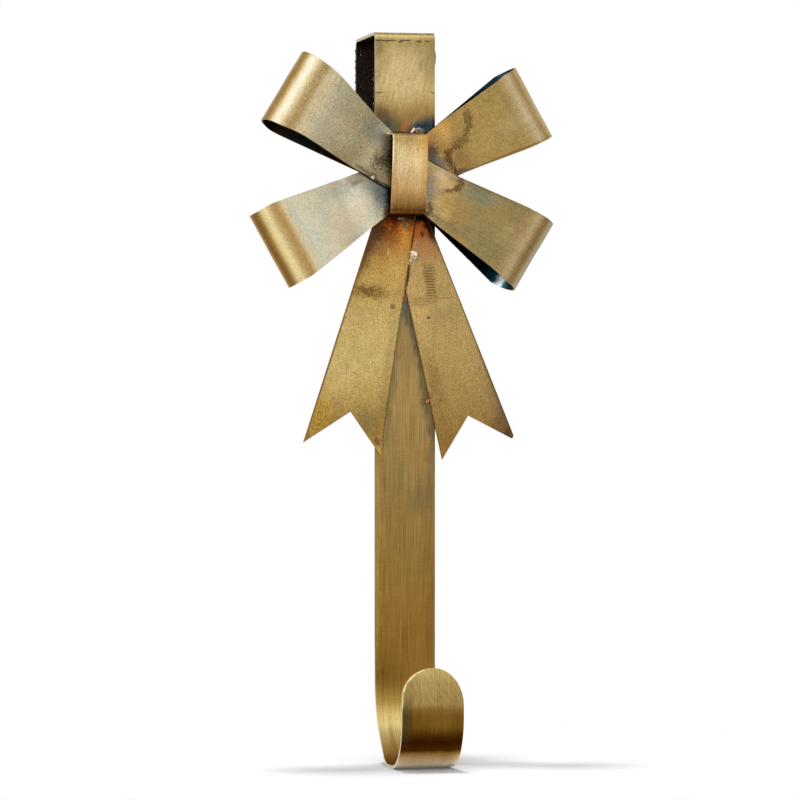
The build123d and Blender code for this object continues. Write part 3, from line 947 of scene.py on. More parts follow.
left_dirt = [
    (-18.0, -128.2, 7.6, 2.4, -8, 0.8, 0.75, (110, 79, 34)),
    (-20.0, -126.6, 4.5, 1.8, -8, 0.8, 0.5, (98, 68, 28)),
    (-10.5, -98.5, 3.0, 3.0, 0, 0.8, 0.5, (60, 38, 22)),
]
tail_left_finish, place, colour, relief = tail_brass(
    "left_tail_brass", left_bands, left_stains, left_thin_stains, left_dirt, dirt_share=0.4
)
swirl = ellipse(place, *SWIRL) + place.sway(3.5, 3.0) * 0.6
rings = abs(place.math("FRACT", swirl * SWIRL_RINGS) - 0.5).ramp(0.2, 0.48)
colour = colour.mixed(linear(112, 82, 32), rings * swirl.ramp(0.7, 1.1, 0.5, 0.0))
metal(tail_left_finish, colour, 0.38, relief)

# %% [markdown]
# The right tail is browner. Pliers left a row of tooth marks on it. They become real grooves in the mesh
# further on, and here they get the dirt that collects in grooves, from the same sizes.

# %% Right tail finish
MARKS_TOP, MARKS_FOOT = -112.6, -137.4
MARK_PITCH = 1.37
MARK_MIDDLE, MARK_DRIFT = 11.4, 0.11
MARK_HALF = 3.1
MARK_BOW = 0.06
MARK_SOFT_END = 0.6
right_bands = [
    (-212, (140, 104, 53)), (-198, (146, 112, 58)), (-186, (152, 123, 71)), (-172, (164, 136, 82)),
    (-156, (174, 145, 90)), (-130, (176, 148, 92)), (-116, (176, 146, 92)), (-109, (170, 134, 82)),
    (-103, (156, 117, 70)), (-99, (124, 75, 37)), (-95.5, (60, 25, 10)), (-92.5, (16, 5, 3)),
    (-83, (8, 3, 2)),
]
right_stains_and_shade = [
    (6.4, -97.5, 3.0, 3.4, 10, 0.6, 0.6, (164, 82, 34)),
    # Painted shadow of the lower right loop on the top of the tail.
    (12.8, -96.0, 2.4, 9.0, 22, 0.6, 0.9, (14, 7, 4)),
    (9.0, -107.0, 6.0, 5.0, 0, 0.8, 0.4, (176, 122, 78)),
    (22.0, -138.0, 9.0, 4.0, 10, 0.8, 0.3, (134, 118, 78)),
    (48.0, -196.0, 5.0, 7.0, 30, 0.7, 0.6, (98, 70, 50)),
    (49.6, -190.0, 3.0, 10.0, 22, 0.8, 0.55, (96, 72, 54)),
    (6.0, -136.0, 5.0, 11.0, 12, 0.8, 0.4, (208, 174, 110)),
    (53.0, -199.0, 2.6, 3.0, 0, 0.6, 0.7, (56, 40, 40)),
    (44.0, -176.0, 3.6, 14.0, 22, 0.8, 0.35, (124, 106, 78)),
    (11.0, -181.0, 1.6, 2.6, 0, 0.6, 0.5, (116, 66, 36)),
]
right_thin_stains = [
    (8.4, -99.0, 0.9, 1.6, 20, 0.5, 0.8, (54, 44, 36)),
    (3.9, -100.5, 0.35, 7.0, -8, 0.5, 0.85, (58, 20, 10)),
    (1.4, -120.0, 0.55, 6.4, -8, 0.5, 0.9, (62, 24, 12)),
    (20.4, -130.8, 3.4, 0.3, 2, 0.9, 0.5, (100, 80, 40)),
    (7.4, -134.2, 2.8, 0.3, 4, 0.9, 0.4, (110, 86, 42)),
    (11.7, -140.6, 1.0, 0.8, 0, 0.4, 0.7, (84, 60, 46)),
    (9.4, -168.8, 0.35, 42.0, 12.3, 0.5, 0.7, (88, 58, 26)),
    (44.9, -175.0, 1.0, 26.0, 22, 0.7, 0.6, (96, 68, 36)),
    (31.6, -141.7, 0.55, 60.0, 22, 0.5, 0.65, (104, 64, 30)),
]
right_dirt = [
    (7.0, -132.0, 5.0, 2.4, 10, 0.8, 0.4, (116, 84, 38)),
    (14.0, -172.0, 2.4, 12.0, 12, 0.9, 0.35, (112, 78, 34)),
]
tail_right_finish, place, colour, relief = tail_brass(
    "right_tail_brass", right_bands, right_stains_and_shade, right_thin_stains, right_dirt, dirt_share=0.36
)
depth_down = MARKS_TOP - place.axis("Z")
bowed = abs(place.axis("X") - MARK_MIDDLE) * MARK_BOW
groove = abs(place.math("FRACT", (depth_down + bowed) / MARK_PITCH) - 0.5).fade(0.05, 0.42)
from_middle = abs(place.axis("X") - MARK_MIDDLE - depth_down * MARK_DRIFT)
mark_ends = (from_middle + place.sway(2.0) * 2.4).fade(MARK_HALF - 1.4, MARK_HALF + MARK_SOFT_END)
mark_rows = depth_down.ramp(-0.5, 4.0) * depth_down.fade(13.0, MARKS_TOP - MARKS_FOOT)
colour = colour.mixed(linear(104, 76, 28), (groove * 0.75 + 0.2) * mark_rows * mark_ends * 0.85)
metal(tail_right_finish, colour, 0.38, relief)

# %% [markdown]
# The edges of the tails were cut with shears and went brown and black with the heat.

# %% Tail edge
tail_edge, place = new_finish("tail_edge")
warm = place.grain(2.2, 3.0)
tail_edge_bands = [
    (-212, (196, 156, 72)), (-150, (160, 122, 58)), (-110, (136, 88, 38)), (-96, (60, 28, 10)),
    (-74, (20, 9, 4)),
]
colour = banded(place.axis("Z"), tail_edge_bands)
metal(tail_edge, colour.vector("SCALE", scale=0.6 + warm * 0.6), 0.4)

# %% [markdown]
# The outlines of the tails are corners on the front, in millimetres. The seam between the two follows the
# left tail's inner edge, so two corners of the right tail are worked out from it, with a narrow gap.

# %% Outlines of the tails
TAIL_SHEET = 1.0
SEAM_GAP = 0.5
left_outline = [(-10.0, -74.5), (7.0, -74.5), (-12.5, -209.4), (-27.8, -187.4), (-51.7, -202.7)]
seam_top, seam_foot = -84.0, -126.3
(seam_x, seam_z), (seam_end_x, seam_end_z) = left_outline[1:3]
seam_slope = (seam_x - seam_end_x) / (seam_z - seam_end_z)
right_outline = [
    (seam_x + (seam_top - seam_z) * seam_slope + SEAM_GAP, seam_top),
    (8.4, -84.0),
    (55.2, -199.4),
    (54.4, -200.9),
    (31.9, -189.4),
    (18.6, -211.4),
    (seam_x + (seam_foot - seam_z) * seam_slope + SEAM_GAP, seam_foot),
]
print("seam leans", round(degrees(atan2(seam_x - seam_end_x, seam_z - seam_end_z)), 1), "degrees")

# %% [markdown]
# A plate with a pointed outline is cut the way a shear would do it: a fine grid is scored along every
# side of the outline, and the faces outside are thrown away. Whether a face lies inside is settled by
# counting: a line from it to the right crosses the outline an odd number of times.


# %% Left tail
def inside(point, outline):
    """Whether a point of the front lies inside an outline."""
    crossings = 0
    for (x1, z1), (x2, z2) in zip(outline, outline[1:] + outline[:1]):
        if (z1 > point.z) != (z2 > point.z):
            crossings += point.x < x1 + (point.z - z1) / (z2 - z1) * (x2 - x1)
    return crossings % 2 == 1


def cut_plate(outline, cell=1.6):
    """Cut a plate to an outline: a grid is scored along every side, and what lies outside is thrown away."""
    bm = bmesh.new()
    xs, zs = zip(*outline)
    size = Vector((max(xs) - min(xs), 1.0, max(zs) - min(zs)))
    middle = Vector(((max(xs) + min(xs)) / 2, strap_front - TAIL_SHEET / 2, (max(zs) + min(zs)) / 2))
    upright = Matrix.Rotation(radians(90), 4, "X")
    place = Matrix.Translation(middle) @ Matrix.Diagonal((*size, 1.0)) @ upright
    bmesh.ops.create_grid(
        bm, x_segments=round(size.x / cell), y_segments=round(size.z / cell), size=0.5, matrix=place
    )
    for (x1, z1), (x2, z2) in zip(outline, outline[1:] + outline[:1]):
        everything = bm.faces[:] + bm.edges[:] + bm.verts[:]
        bmesh.ops.bisect_plane(
            bm, geom=everything, dist=1e-4, plane_co=(x1, 0, z1), plane_no=(z2 - z1, 0, x1 - x2)
        )
    outside = [face for face in bm.faces if not inside(face.calc_center_median(), outline)]
    bmesh.ops.delete(bm, geom=outside, context="FACES")
    facing(bm, lambda face: -face.normal.y)
    return bm


bm = cut_plate(left_outline)
left_skin = [tail_left_finish, tail_left_finish, tail_edge]
finished(bm, "left_tail", left_skin, "tail_left", TAIL_SHEET)

# %% [markdown]
# The right tail needs its tooth marks. Where the pliers gripped it, the plate is cut finer, and its
# points are pushed in along a wave. The marks fade out at both ends of a row and at the first and last
# row.

# %% Right tail
MARK_DEPTH = 0.14
MARK_WIDTH = 0.4
FIRST_ROWS, LAST_ROWS = 5.0, 8.0
bm = cut_plate(right_outline)
marks_length = MARKS_TOP - MARKS_FOOT
gripped = []
for face in bm.faces:
    middle = face.calc_center_median()
    if abs(middle.x - MARK_MIDDLE - 1) < MARK_HALF + 3 and MARKS_FOOT - 1 < middle.z < MARKS_TOP + 1:
        gripped.append(face)
grip_edges = list({edge for face in gripped for edge in face.edges})
bmesh.ops.subdivide_edges(bm, edges=grip_edges, cuts=5, use_grid_fill=True)
for vert in bm.verts:
    below = MARKS_TOP - vert.co.z
    if 0 < below < marks_length:
        from_middle = abs(vert.co.x - MARK_MIDDLE - below * MARK_DRIFT)
        bowed = abs(vert.co.x - MARK_MIDDLE) * MARK_BOW
        ends = share_of(MARK_HALF + MARK_SOFT_END - from_middle, 1.0)
        rows = min(1.0, below / FIRST_ROWS, (marks_length - below) / LAST_ROWS)
        across = abs((below + bowed) / MARK_PITCH % 1 - 0.5)
        vert.co.y += MARK_DEPTH * ends * rows * max(0.0, 1 - across / MARK_WIDTH)
right_skin = [tail_right_finish, tail_right_finish, tail_edge]
finished(bm, "right_tail", right_skin, "tail_right", TAIL_SHEET)

# %% [markdown]
# ## Bow
# Each strip of the bow is bent into two loops, and no loop is like another. A loop has a side, the angle
# of its fold and of its middle line, a lift in front of the strap, a reach, the radius of its bend and
# the place where its two layers part. Each of its two cut sides has four more numbers: half the width at
# the waist, half the width at the fold, the length of a parallel end, and the lean of the cut.

# %% Sizes of the bow
BOW_SHEET = 0.8
LAYER_GAP = 0.2
TIP_GAP = 1.0
CREASE_RADIUS = 32.0
BOW_CENTRE = (0.8, -68.7)
BLANK_HALF = 46.0
STRIP_HEIGHT = 2 * BOW_SHEET + LAYER_GAP
FRONT_LAYER = 1.5 * BOW_SHEET + LAYER_GAP
upper_left = {
    "side": -1, "fold": -31.0, "tilt": -31.7, "lift": TAIL_SHEET + STRIP_HEIGHT, "reach": 78.1, "bend": 15.0,
    "parting": 21.0, "upper": (10.5, 19.4, 0.0, 0.04), "lower": (10.25, 19.8, 8.0, 0.052),
}
lower_right = {
    "side": 1, "fold": -31.0, "tilt": -35.8, "lift": TAIL_SHEET + STRIP_HEIGHT, "reach": 74.0, "bend": 12.5,
    "parting": 19.0, "upper": (10.0, 20.3, 5.0, 0.0), "lower": (9.9, 19.5, 8.0, 0.067),
}
lower_left = {
    "side": -1, "fold": 29.0, "tilt": 28.2, "lift": TAIL_SHEET, "reach": 82.3, "bend": 13.0,
    "parting": 30.0, "upper": (8.8, 18.1, 10.5, 0.05), "lower": (10.9, 22.3, 11.0, 0.05),
}
upper_right = {
    "side": 1, "fold": 29.0, "tilt": 29.5, "lift": TAIL_SHEET, "reach": 71.3, "bend": 11.0,
    "parting": 28.0, "upper": (9.2, 20.3, 9.0, -0.035), "lower": (11.5, 17.8, 0.0, -0.07),
}
print("bow reaches", lower_left["reach"], "mm to the left and", upper_right["reach"], "mm to the right")

# %% [markdown]
# Heat, polish and residue differ from loop to loop, so each has its own skin. Its colours run round the
# bend, and the finish needs the angle round it. That angle comes from two distances: along the loop, and
# in front of the bend's centre. Flat sheet has angles below the bend's start. The colours round the bend
# are painted light as well as tint: paler where a highlight falls and darker where shade falls. Towards
# the knot every loop goes over to another colour, and its flat part gets mottles, stains and crumbly dirt.
# A few of the stains are painted shadows and highlights where the loops and the knot meet.


# %% Helpers for the loops' finish
def along_loop(place, loop):
    """Coordinates of a loop: distance along it, and the angle round its bend, where 0 faces the front."""
    local = place.placed((BOW_CENTRE[0], 0, BOW_CENTRE[1]), (1, 1, 1), loop["fold"])
    along = local.axis("X") * loop["side"]
    bend_depth = strap_front - loop["lift"] - loop["bend"]
    ahead = bend_depth - place.axis("Y")
    return local, along, place.math("ARCTAN2", along - (loop["reach"] - loop["bend"]), ahead) * degrees(1)


def loop_brass(name, loop, bands, mottles, stains, thin_stains, dirt, near_knot, dirt_share, line_share):
    """Finish of a loop: colours round its bend, mottles, stains, dirt, brush lines and specks."""
    finish, place = new_finish(name)
    ragged = place.ragged(5.0, 4.0)
    crumbs = place.sway(0.9, 4.0) * 1.5
    local, along, angle = along_loop(place, loop)
    # The colours round the bend hold painted highlight and painted shade as well as tint.
    colour = banded(angle + place.sway(7.0, 3.0) * 7.0, bands)
    to_knot = (along + place.sway(6.0, 3.0) * 14.0).ramp(12, 32, 0.85, 0.0)
    colour = colour.mixed(linear(*near_knot), to_knot)
    layer = strap_front - loop["lift"] - BOW_SHEET - LAYER_GAP / 2
    on_front = place.axis("Y").fade(layer - 0.3, layer + 0.3)
    plain = colour
    flat = angle.fade(-32, -14) * along.ramp(16, 36)
    for size, paint, share in mottles:
        patches = place.grain(size, 4.0).ramp(0.42, 0.62)
        colour = colour.mixed(linear(*paint), patches * flat * share)
    colour = stained(colour, ragged, stains, crumbs)
    colour = stained(colour, place, thin_stains, crumbs * 0.4)
    colour = stained(colour, ragged, dirt, crumbs * 2.2)
    colour = plain.mixed(colour, on_front)
    lines = local.grain((14.0, 14.0, 0.45), 3.0)
    mottle = place.grain(0.9, 3.0)
    grit = place.sway(0.42, 2.0) * (0.55 + dirt_share * 1.9)
    clouds = place.sway(9.0, 2.0) * 0.2
    tone = 1 + (mottle - 0.5) * 0.45 + grit + (lines - 0.5) * line_share + clouds
    colour = colour.vector("SCALE", scale=tone)
    loose = place.ragged(0.7, 0.8)
    dust = loose.specks(1.0, dirt_share, 0.28) * place.grain(5.0).ramp(0.4, 0.6, 0.1, 1.0)
    colour = colour.mixed(linear(96, 80, 52), dust * 0.7)
    spots = loose.specks(7.0, 0.35, 0.07)
    colour = colour.mixed(linear(66, 42, 22), spots * 0.85)
    metal(finish, colour, 0.33 + mottle * 0.1, mottle * 0.02 + lines * 0.008)
    return finish


print("finish of the loops ready")

# %% [markdown]
# The upper left loop is the palest. It is almost white where it lifts off, and specks cover all of it.
# The pale band round its bend is a painted highlight, and so is a pale patch beside the top of the knot.
# Beside the knot the weld left a dark, scorched edge.

# %% Upper left loop finish
# Painted highlight: the pale colours from 28 to 40 degrees round the bend.
upper_left_colours_and_light = [
    (-180, (150, 120, 70)), (-85, (220, 202, 157)), (-36, (239, 226, 187)), (-30, (214, 199, 159)),
    (-20, (192, 176, 139)), (-10, (192, 176, 141)), (-1, (194, 178, 141)), (7, (170, 143, 94)),
    (14, (165, 138, 90)), (28, (184, 169, 131)), (40, (191, 180, 164)), (54, (183, 162, 117)),
    (66, (175, 137, 74)), (80, (186, 154, 102)), (88, (204, 180, 144)), (180, (150, 120, 70)),
]
upper_left_stains_and_highlight = [
    (-14.5, -49.5, 8.0, 5.5, -30, 0.7, 0.6, (132, 142, 142)),
    # Painted highlight beside the top of the knot.
    (-8.2, -51.6, 3.6, 3.8, -10, 0.8, 0.85, (236, 222, 182)),
    (-10.0, -72.5, 6.0, 4.0, -30, 0.7, 0.5, (124, 102, 58)),
    (-17.0, -68.5, 5.0, 2.6, -25, 0.6, 0.4, (122, 108, 72)),
    (-25.0, -60.0, 6.0, 4.0, 0, 0.8, 0.2, (206, 196, 160)),
]
upper_left_thin_stains = [
    (-6.9, -49.4, 0.9, 1.2, 0, 0.5, 0.8, (58, 24, 12)),
    (-20.5, -68.8, 6.5, 0.9, -31, 0.6, 0.7, (92, 64, 36)),
    (-17.0, -71.2, 2.3, 2.2, 0, 0.4, 0.55, (84, 66, 44)),
    (-24.5, -56.6, 0.5, 0.4, 0, 0.4, 0.8, (104, 48, 30)),
]
upper_left_dirt = [
    (-8.0, -57.5, 1.5, 8.0, -2, 0.8, 0.8, (60, 34, 24)),
    (-8.6, -63.5, 2.6, 4.5, 0, 0.8, 0.6, (70, 52, 38)),
    (-12.8, -63.2, 4.4, 3.6, -10, 0.8, 0.8, (66, 48, 30)),
]
upper_left_mottles = [
    (7.0, (176, 182, 164), 0.18), (4.0, (206, 206, 178), 0.4), (2.0, (240, 226, 186), 0.35),
]
upper_left_skin = loop_brass(
    "upper_left_brass", upper_left, upper_left_colours_and_light, upper_left_mottles,
    upper_left_stains_and_highlight, upper_left_thin_stains, upper_left_dirt,
    near_knot=(146, 136, 108), dirt_share=0.85, line_share=0.16,
)

# %% [markdown]
# Heat turned the lower left loop grey and a little blue. Its bend is paler where a highlight falls, a
# painted highlight. It lies under the upper one: a painted shadow lies along the upper loop's lower edge,
# and a thin dark line of painted shade marks the gap where the two touch.

# %% Lower left loop finish
# Painted highlight: the paler colours from 30 to 42 degrees round the bend.
lower_left_colours_and_light = [
    (-180, (150, 120, 70)), (-85, (215, 202, 166)), (-36, (212, 207, 181)), (-29, (193, 187, 159)),
    (-18, (188, 178, 148)), (-10, (195, 179, 145)), (-5, (190, 169, 125)), (3, (176, 142, 86)),
    (8, (177, 144, 87)), (30, (198, 179, 133)), (42, (195, 174, 121)), (56, (175, 135, 68)),
    (68, (171, 123, 60)), (80, (206, 166, 104)), (88, (222, 188, 132)), (180, (150, 120, 70)),
]
lower_left_stains_and_shade = [
    (-32.0, -91.0, 6.0, 9.0, 29, 0.9, 0.65, (238, 229, 200)),
    (-18.6, -88.6, 6.0, 5.0, 30, 0.9, 0.65, (168, 172, 156)),
    (-34.0, -76.2, 9.0, 3.4, 27, 0.9, 0.45, (138, 148, 146)),
    # Painted shadow along the upper loop's lower edge.
    (-19.5, -73.4, 12.0, 4.4, -31, 0.8, 0.7, (112, 98, 66)),
    (-12.0, -79.6, 4.6, 7.0, 12, 0.9, 0.75, (66, 92, 98)),
    (-8.6, -82.0, 2.0, 9.0, 8, 0.7, 0.95, (18, 28, 32)),
    (-9.4, -88.5, 2.4, 3.6, 0, 0.7, 0.9, (44, 24, 12)),
    (-24.0, -76.5, 9.0, 5.0, 30, 0.8, 0.35, (158, 170, 172)),
    (-28.2, -74.0, 3.0, 2.4, 30, 0.6, 0.5, (138, 122, 86)),
    (-22.2, -72.5, 3.0, 1.4, -28, 0.6, 0.3, (200, 140, 104)),
    (-30.0, -92.0, 12.0, 4.5, 30, 0.8, 0.3, (222, 190, 154)),
    (-38.0, -88.0, 14.0, 10.0, 30, 0.9, 0.25, (206, 208, 188)),
]
lower_left_gap_shade = [
    # Painted shade: a thin dark line in the gap under the upper loop's edge.
    (-15.0, -73.7, 9.5, 0.6, -30, 0.5, 0.95, (34, 17, 8)),
]
lower_left_dirt = [
    (-24.6, -73.8, 2.6, 1.6, 29, 0.8, 0.6, (98, 88, 62)),
]
lower_left_mottles = [
    (8.0, (172, 188, 180), 0.35), (2.6, (204, 208, 190), 0.4), (1.6, (236, 218, 184), 0.35),
]
lower_left_skin = loop_brass(
    "lower_left_brass", lower_left, lower_left_colours_and_light, lower_left_mottles,
    lower_left_stains_and_shade, lower_left_gap_shade, lower_left_dirt,
    near_knot=(130, 122, 104), dirt_share=0.35, line_share=0.1,
)

# %% [markdown]
# The upper right loop is golden brown, with brush lines along it. A chain of crumbly stains runs round
# the patch next to the knot that was heated most. A pale patch near its bend is a painted highlight, and
# a thin dark line above the lower right loop's edge is a painted shadow.

# %% Upper right loop finish
# Painted light round the bend: paler where a highlight falls, darker where shade falls.
upper_right_colours_and_light = [
    (-180, (150, 120, 70)), (-38, (133, 111, 64)), (-26, (147, 125, 76)), (-12, (169, 142, 88)),
    (14, (174, 156, 120)), (36, (154, 127, 77)), (50, (178, 156, 110)), (64, (186, 170, 138)),
    (84, (176, 162, 128)), (180, (150, 120, 70)),
]
upper_right_stains_and_highlight = [
    (18.6, -46.6, 4.2, 6.0, 30, 0.8, 0.55, (232, 180, 100)),
    (12.4, -59.5, 4.0, 6.5, 0, 0.7, 0.88, (54, 60, 58)),
    (17.0, -63.5, 5.0, 2.8, -30, 0.7, 0.75, (80, 92, 92)),
    (27.2, -68.4, 4.0, 1.8, 20, 0.6, 0.85, (72, 76, 70)),
    (19.0, -66.0, 3.6, 1.6, -25, 0.6, 0.45, (120, 122, 112)),
    # Painted highlight near the bend.
    (56.0, -41.0, 4.0, 12.0, -60, 0.9, 0.15, (196, 182, 150)),
]
upper_right_thin_stains_and_shade = [
    # Painted shadow: a dark line above the lower right loop's upper edge.
    (19.0, -66.7, 8.5, 0.55, -31, 0.5, 0.85, (44, 36, 30)),
    (48.3, -60.1, 21.0, 0.6, 23, 0.5, 0.6, (108, 70, 32)),
]
upper_right_dirt = [
    (29.2, -38.9, 1.5, 2.8, 10, 0.5, 0.6, (84, 62, 26)),
    (30.1, -43.8, 1.8, 3.4, 0, 0.5, 0.65, (82, 60, 26)),
    (29.6, -48.0, 1.9, 3.4, -10, 0.5, 0.65, (80, 58, 26)),
    (28.0, -51.6, 2.0, 2.2, 0, 0.5, 0.6, (86, 62, 28)),
    (25.2, -55.2, 2.4, 1.6, 20, 0.5, 0.6, (88, 64, 28)),
    (21.2, -57.8, 2.2, 1.5, 15, 0.5, 0.65, (80, 56, 26)),
    (21.6, -62.0, 1.4, 3.6, 20, 0.5, 0.8, (68, 46, 22)),
    (24.3, -67.0, 1.6, 2.6, 20, 0.5, 0.8, (66, 44, 22)),
]
upper_right_mottles = [(5.0, (124, 108, 62), 0.4), (2.0, (158, 132, 78), 0.4)]
upper_right_skin = loop_brass(
    "upper_right_brass", upper_right, upper_right_colours_and_light, upper_right_mottles,
    upper_right_stains_and_highlight, upper_right_thin_stains_and_shade, upper_right_dirt,
    near_knot=(204, 152, 82), dirt_share=0.45, line_share=0.4,
)

# %% [markdown]
# The lower right loop is the darkest, brown and olive, and its brush lines are the strongest. Its far end
# turns grey. A thin pink line along its upper edge is a painted highlight.

# %% Lower right loop finish
# Painted light round the bend: paler where a highlight falls, darker where shade falls.
lower_right_colours_and_light = [
    (-180, (150, 120, 70)), (-34, (108, 97, 63)), (-18, (143, 120, 78)), (-4, (158, 135, 93)),
    (12, (168, 148, 110)), (32, (162, 130, 82)), (46, (178, 157, 114)), (58, (172, 160, 134)),
    (68, (144, 135, 115)), (76, (120, 113, 97)), (84, (108, 102, 90)), (180, (150, 120, 70)),
]
lower_right_stains = [
    (11.5, -77.0, 2.4, 9.0, 8, 0.6, 0.6, (112, 112, 108)),
    (15.5, -73.5, 4.0, 5.0, 0, 0.7, 0.4, (178, 150, 120)),
    (20.0, -83.0, 3.0, 9.0, -20, 0.7, 0.5, (176, 142, 82)),
    (17.5, -69.8, 3.0, 2.4, -31, 0.7, 0.5, (226, 198, 156)),
    (19.0, -74.6, 3.6, 2.4, -10, 0.8, 0.5, (222, 186, 128)),
    (14.5, -83.5, 3.0, 3.0, 0, 0.8, 0.4, (206, 168, 100)),
    (35.0, -80.0, 9.0, 4.0, -28, 0.8, 0.5, (80, 98, 88)),
    (40.0, -78.0, 16.0, 1.6, -25, 0.8, 0.4, (84, 64, 38)),
    (32.0, -96.0, 10.0, 5.0, -36, 0.9, 0.3, (104, 100, 68)),
    (27.0, -86.0, 6.0, 6.0, 0, 0.9, 0.35, (104, 98, 66)),
    (49.0, -101.0, 5.0, 7.0, -36, 0.9, 0.25, (178, 150, 106)),
    (46.0, -89.0, 8.0, 5.0, -31, 0.9, 0.3, (112, 92, 58)),
]
lower_right_thin_stains_and_highlight = [
    # Painted highlight: a thin pink line along the loop's upper edge.
    (19.0, -67.8, 8.5, 0.3, -31, 0.5, 0.35, (206, 164, 130)),
    (46.3, -80.5, 20.0, 0.7, -26, 0.6, 0.55, (86, 56, 32)),
]
lower_right_dirt = [
    (26.8, -72.6, 1.8, 2.4, 0, 0.6, 0.85, (84, 60, 34)),
    (25.0, -76.2, 2.2, 1.5, 35, 0.6, 0.8, (82, 58, 32)),
    (20.8, -77.8, 2.6, 1.1, 5, 0.6, 0.75, (80, 54, 32)),
    (11.6, -86.0, 1.4, 3.0, 0, 0.6, 0.75, (66, 40, 26)),
    (9.6, -89.0, 2.2, 1.5, -31, 0.6, 0.8, (60, 38, 22)),
    (24.0, -89.0, 4.0, 6.0, -10, 0.9, 0.45, (140, 102, 50)),
    (18.5, -94.6, 7.0, 2.2, -33, 0.8, 0.55, (84, 82, 60)),
]
lower_right_mottles = [(4.0, (94, 92, 60), 0.5), (2.0, (132, 108, 66), 0.45)]
lower_right_skin = loop_brass(
    "lower_right_brass", lower_right, lower_right_colours_and_light, lower_right_mottles,
    lower_right_stains, lower_right_thin_stains_and_highlight, lower_right_dirt,
    near_knot=(176, 152, 109), dirt_share=0.5, line_share=0.6,
)

# %% [markdown]
# The insides of the loops are almost black, partly from the heat of welding, which left red on the left
# and blue on the right, and partly painted shade. A near-white band inside the lower right loop is a
# painted glint. The cut edges of the strips are bare bright metal with a brown tint.


# %% Inside and edges of the loops
def loop_inside(name, loop, bands):
    """Finish of the inside of a loop: smoky colours along it."""
    finish, place = new_finish(name)
    along = along_loop(place, loop)[1]
    smoky = place.grain(4.0, 3.0)
    colour = banded(along + (smoky - 0.5) * 5.0, bands).vector("SCALE", scale=0.6 + smoky * 0.8)
    metal(finish, colour, 0.3 + smoky * 0.1)
    return finish


upper_left_inside = loop_inside("upper_left_inside", upper_left, [
    (20, (84, 40, 22)), (36, (52, 32, 20)), (52, (28, 48, 46)), (64, (48, 34, 26)), (78, (34, 18, 14)),
])
lower_left_inside = loop_inside("lower_left_inside", lower_left, [
    (20, (30, 22, 18)), (50, (26, 24, 22)), (82, (70, 40, 22)),
])
upper_right_inside = loop_inside("upper_right_inside", upper_right, [
    (20, (16, 18, 22)), (45, (18, 34, 44)), (60, (46, 78, 90)), (72, (52, 70, 74)),
])
# Painted glint: the near-white band near the outer end.
lower_right_inside_with_glint = loop_inside("lower_right_inside_with_glint", lower_right, [
    (20, (3, 3, 5)), (50, (4, 8, 12)), (59, (10, 34, 46)), (64.5, (34, 84, 102)), (67.8, (250, 255, 255)),
    (69.6, (60, 116, 130)), (75, (16, 38, 48)),
])
bow_edge, place = new_finish("bow_edge")
warm = place.grain(2.0, 3.0)
colour = banded(warm, [(0.3, (92, 60, 28)), (0.5, (152, 114, 62)), (0.7, (196, 164, 110))])
metal(bow_edge, colour, 0.36)

# %% [markdown]
# A loop starts flat under the knot, lifts off in a gentle curve, runs straight out, turns round the bend
# and comes back flat. Its sides are not parallel: slanting cuts make it wider at the end than at the
# waist. The cuts go through both layers of the bent loop at once, so that the layers keep the same
# outline.


# %% Helpers for the loops
def loop_moves(loop):
    """Runs and bends of one loop, from the strip's tip under the knot round to the middle of its back."""
    bend = loop["bend"] - BOW_SHEET / 2
    along = loop["reach"] - loop["bend"] - loop["parting"]
    up = BOW_SHEET / 2 + bend - FRONT_LAYER
    rise = degrees(atan2(up, along) + asin(bend / hypot(along, up)))
    setback = CREASE_RADIUS * tan(radians(rise / 2))
    straight = sqrt(along**2 + up**2 - bend**2)
    return [
        (loop["parting"] - TIP_GAP / 2 - setback, CREASE_RADIUS, -rise),
        (straight - setback, bend, 180 + rise),
        (loop["reach"] - loop["bend"], 0, 0),
    ]


def bow_point(angle, along, across):
    """Point at a distance along a line through the bow's centre and a distance to its upper side."""
    turn = radians(angle)
    x = BOW_CENTRE[0] + along * cos(turn) - across * sin(turn)
    return Vector((x, strap_front, BOW_CENTRE[1] + along * sin(turn) + across * cos(turn)))


def bow_loop(loop, skin):
    """Bend one loop, then cut it along its two slanting sides."""
    bm = bmesh.new()
    fold = radians(loop["fold"])
    along = Vector((cos(fold), 0, sin(fold))) * loop["side"]
    forward = Vector((0, -1, 0))
    upward = Vector((-sin(fold), 0, cos(fold)))
    centre = Vector((BOW_CENTRE[0], strap_front - loop["lift"], BOW_CENTRE[1]))
    start = centre + along * (TIP_GAP / 2) + forward * FRONT_LAYER - upward * BLANK_HALF
    drawn_line(bm, start, along, forward.cross(along), loop_moves(loop))
    widened(bm, upward * (2 * BLANK_HALF))
    for side, (waist, wide, parallel, lean) in ((1, loop["upper"]), (-1, loop["lower"])):
        near = bow_point(loop["fold"], 0, side * waist)
        spread = bow_point(loop["tilt"], loop["side"] * (loop["reach"] - parallel), side * wide)
        cuts = [(near, spread - near)]
        if parallel:
            cuts.append((spread, along))
        for point, run in cuts:
            outward = run.cross(forward + upward * lean)
            if outward.dot(upward) * side < 0:
                outward.negate()
            everything = bm.faces[:] + bm.edges[:] + bm.verts[:]
            bmesh.ops.bisect_plane(
                bm, geom=everything, dist=1e-4, plane_co=point, plane_no=outward, clear_outer=True
            )
    bend_centre = centre + along * (loop["reach"] - loop["bend"]) + forward * loop["bend"]
    facing(bm, lambda face: face.normal.dot(face.calc_center_median() - bend_centre))
    for face in bm.faces:
        face.material_index = skin
    return bm


print("loops bend round a radius of", lower_left["bend"], "and", upper_right["bend"], "mm at the back")

# %% [markdown]
# The two loops of a strip meet at the middle of its back, where they are merged. A sheet has three
# finishes: outside, inside and edge. The left loop uses the first three in the list and the right loop
# the next three.

# %% Bow strips
RIGHT_SKIN = 3
MERGE_DISTANCE = 0.15


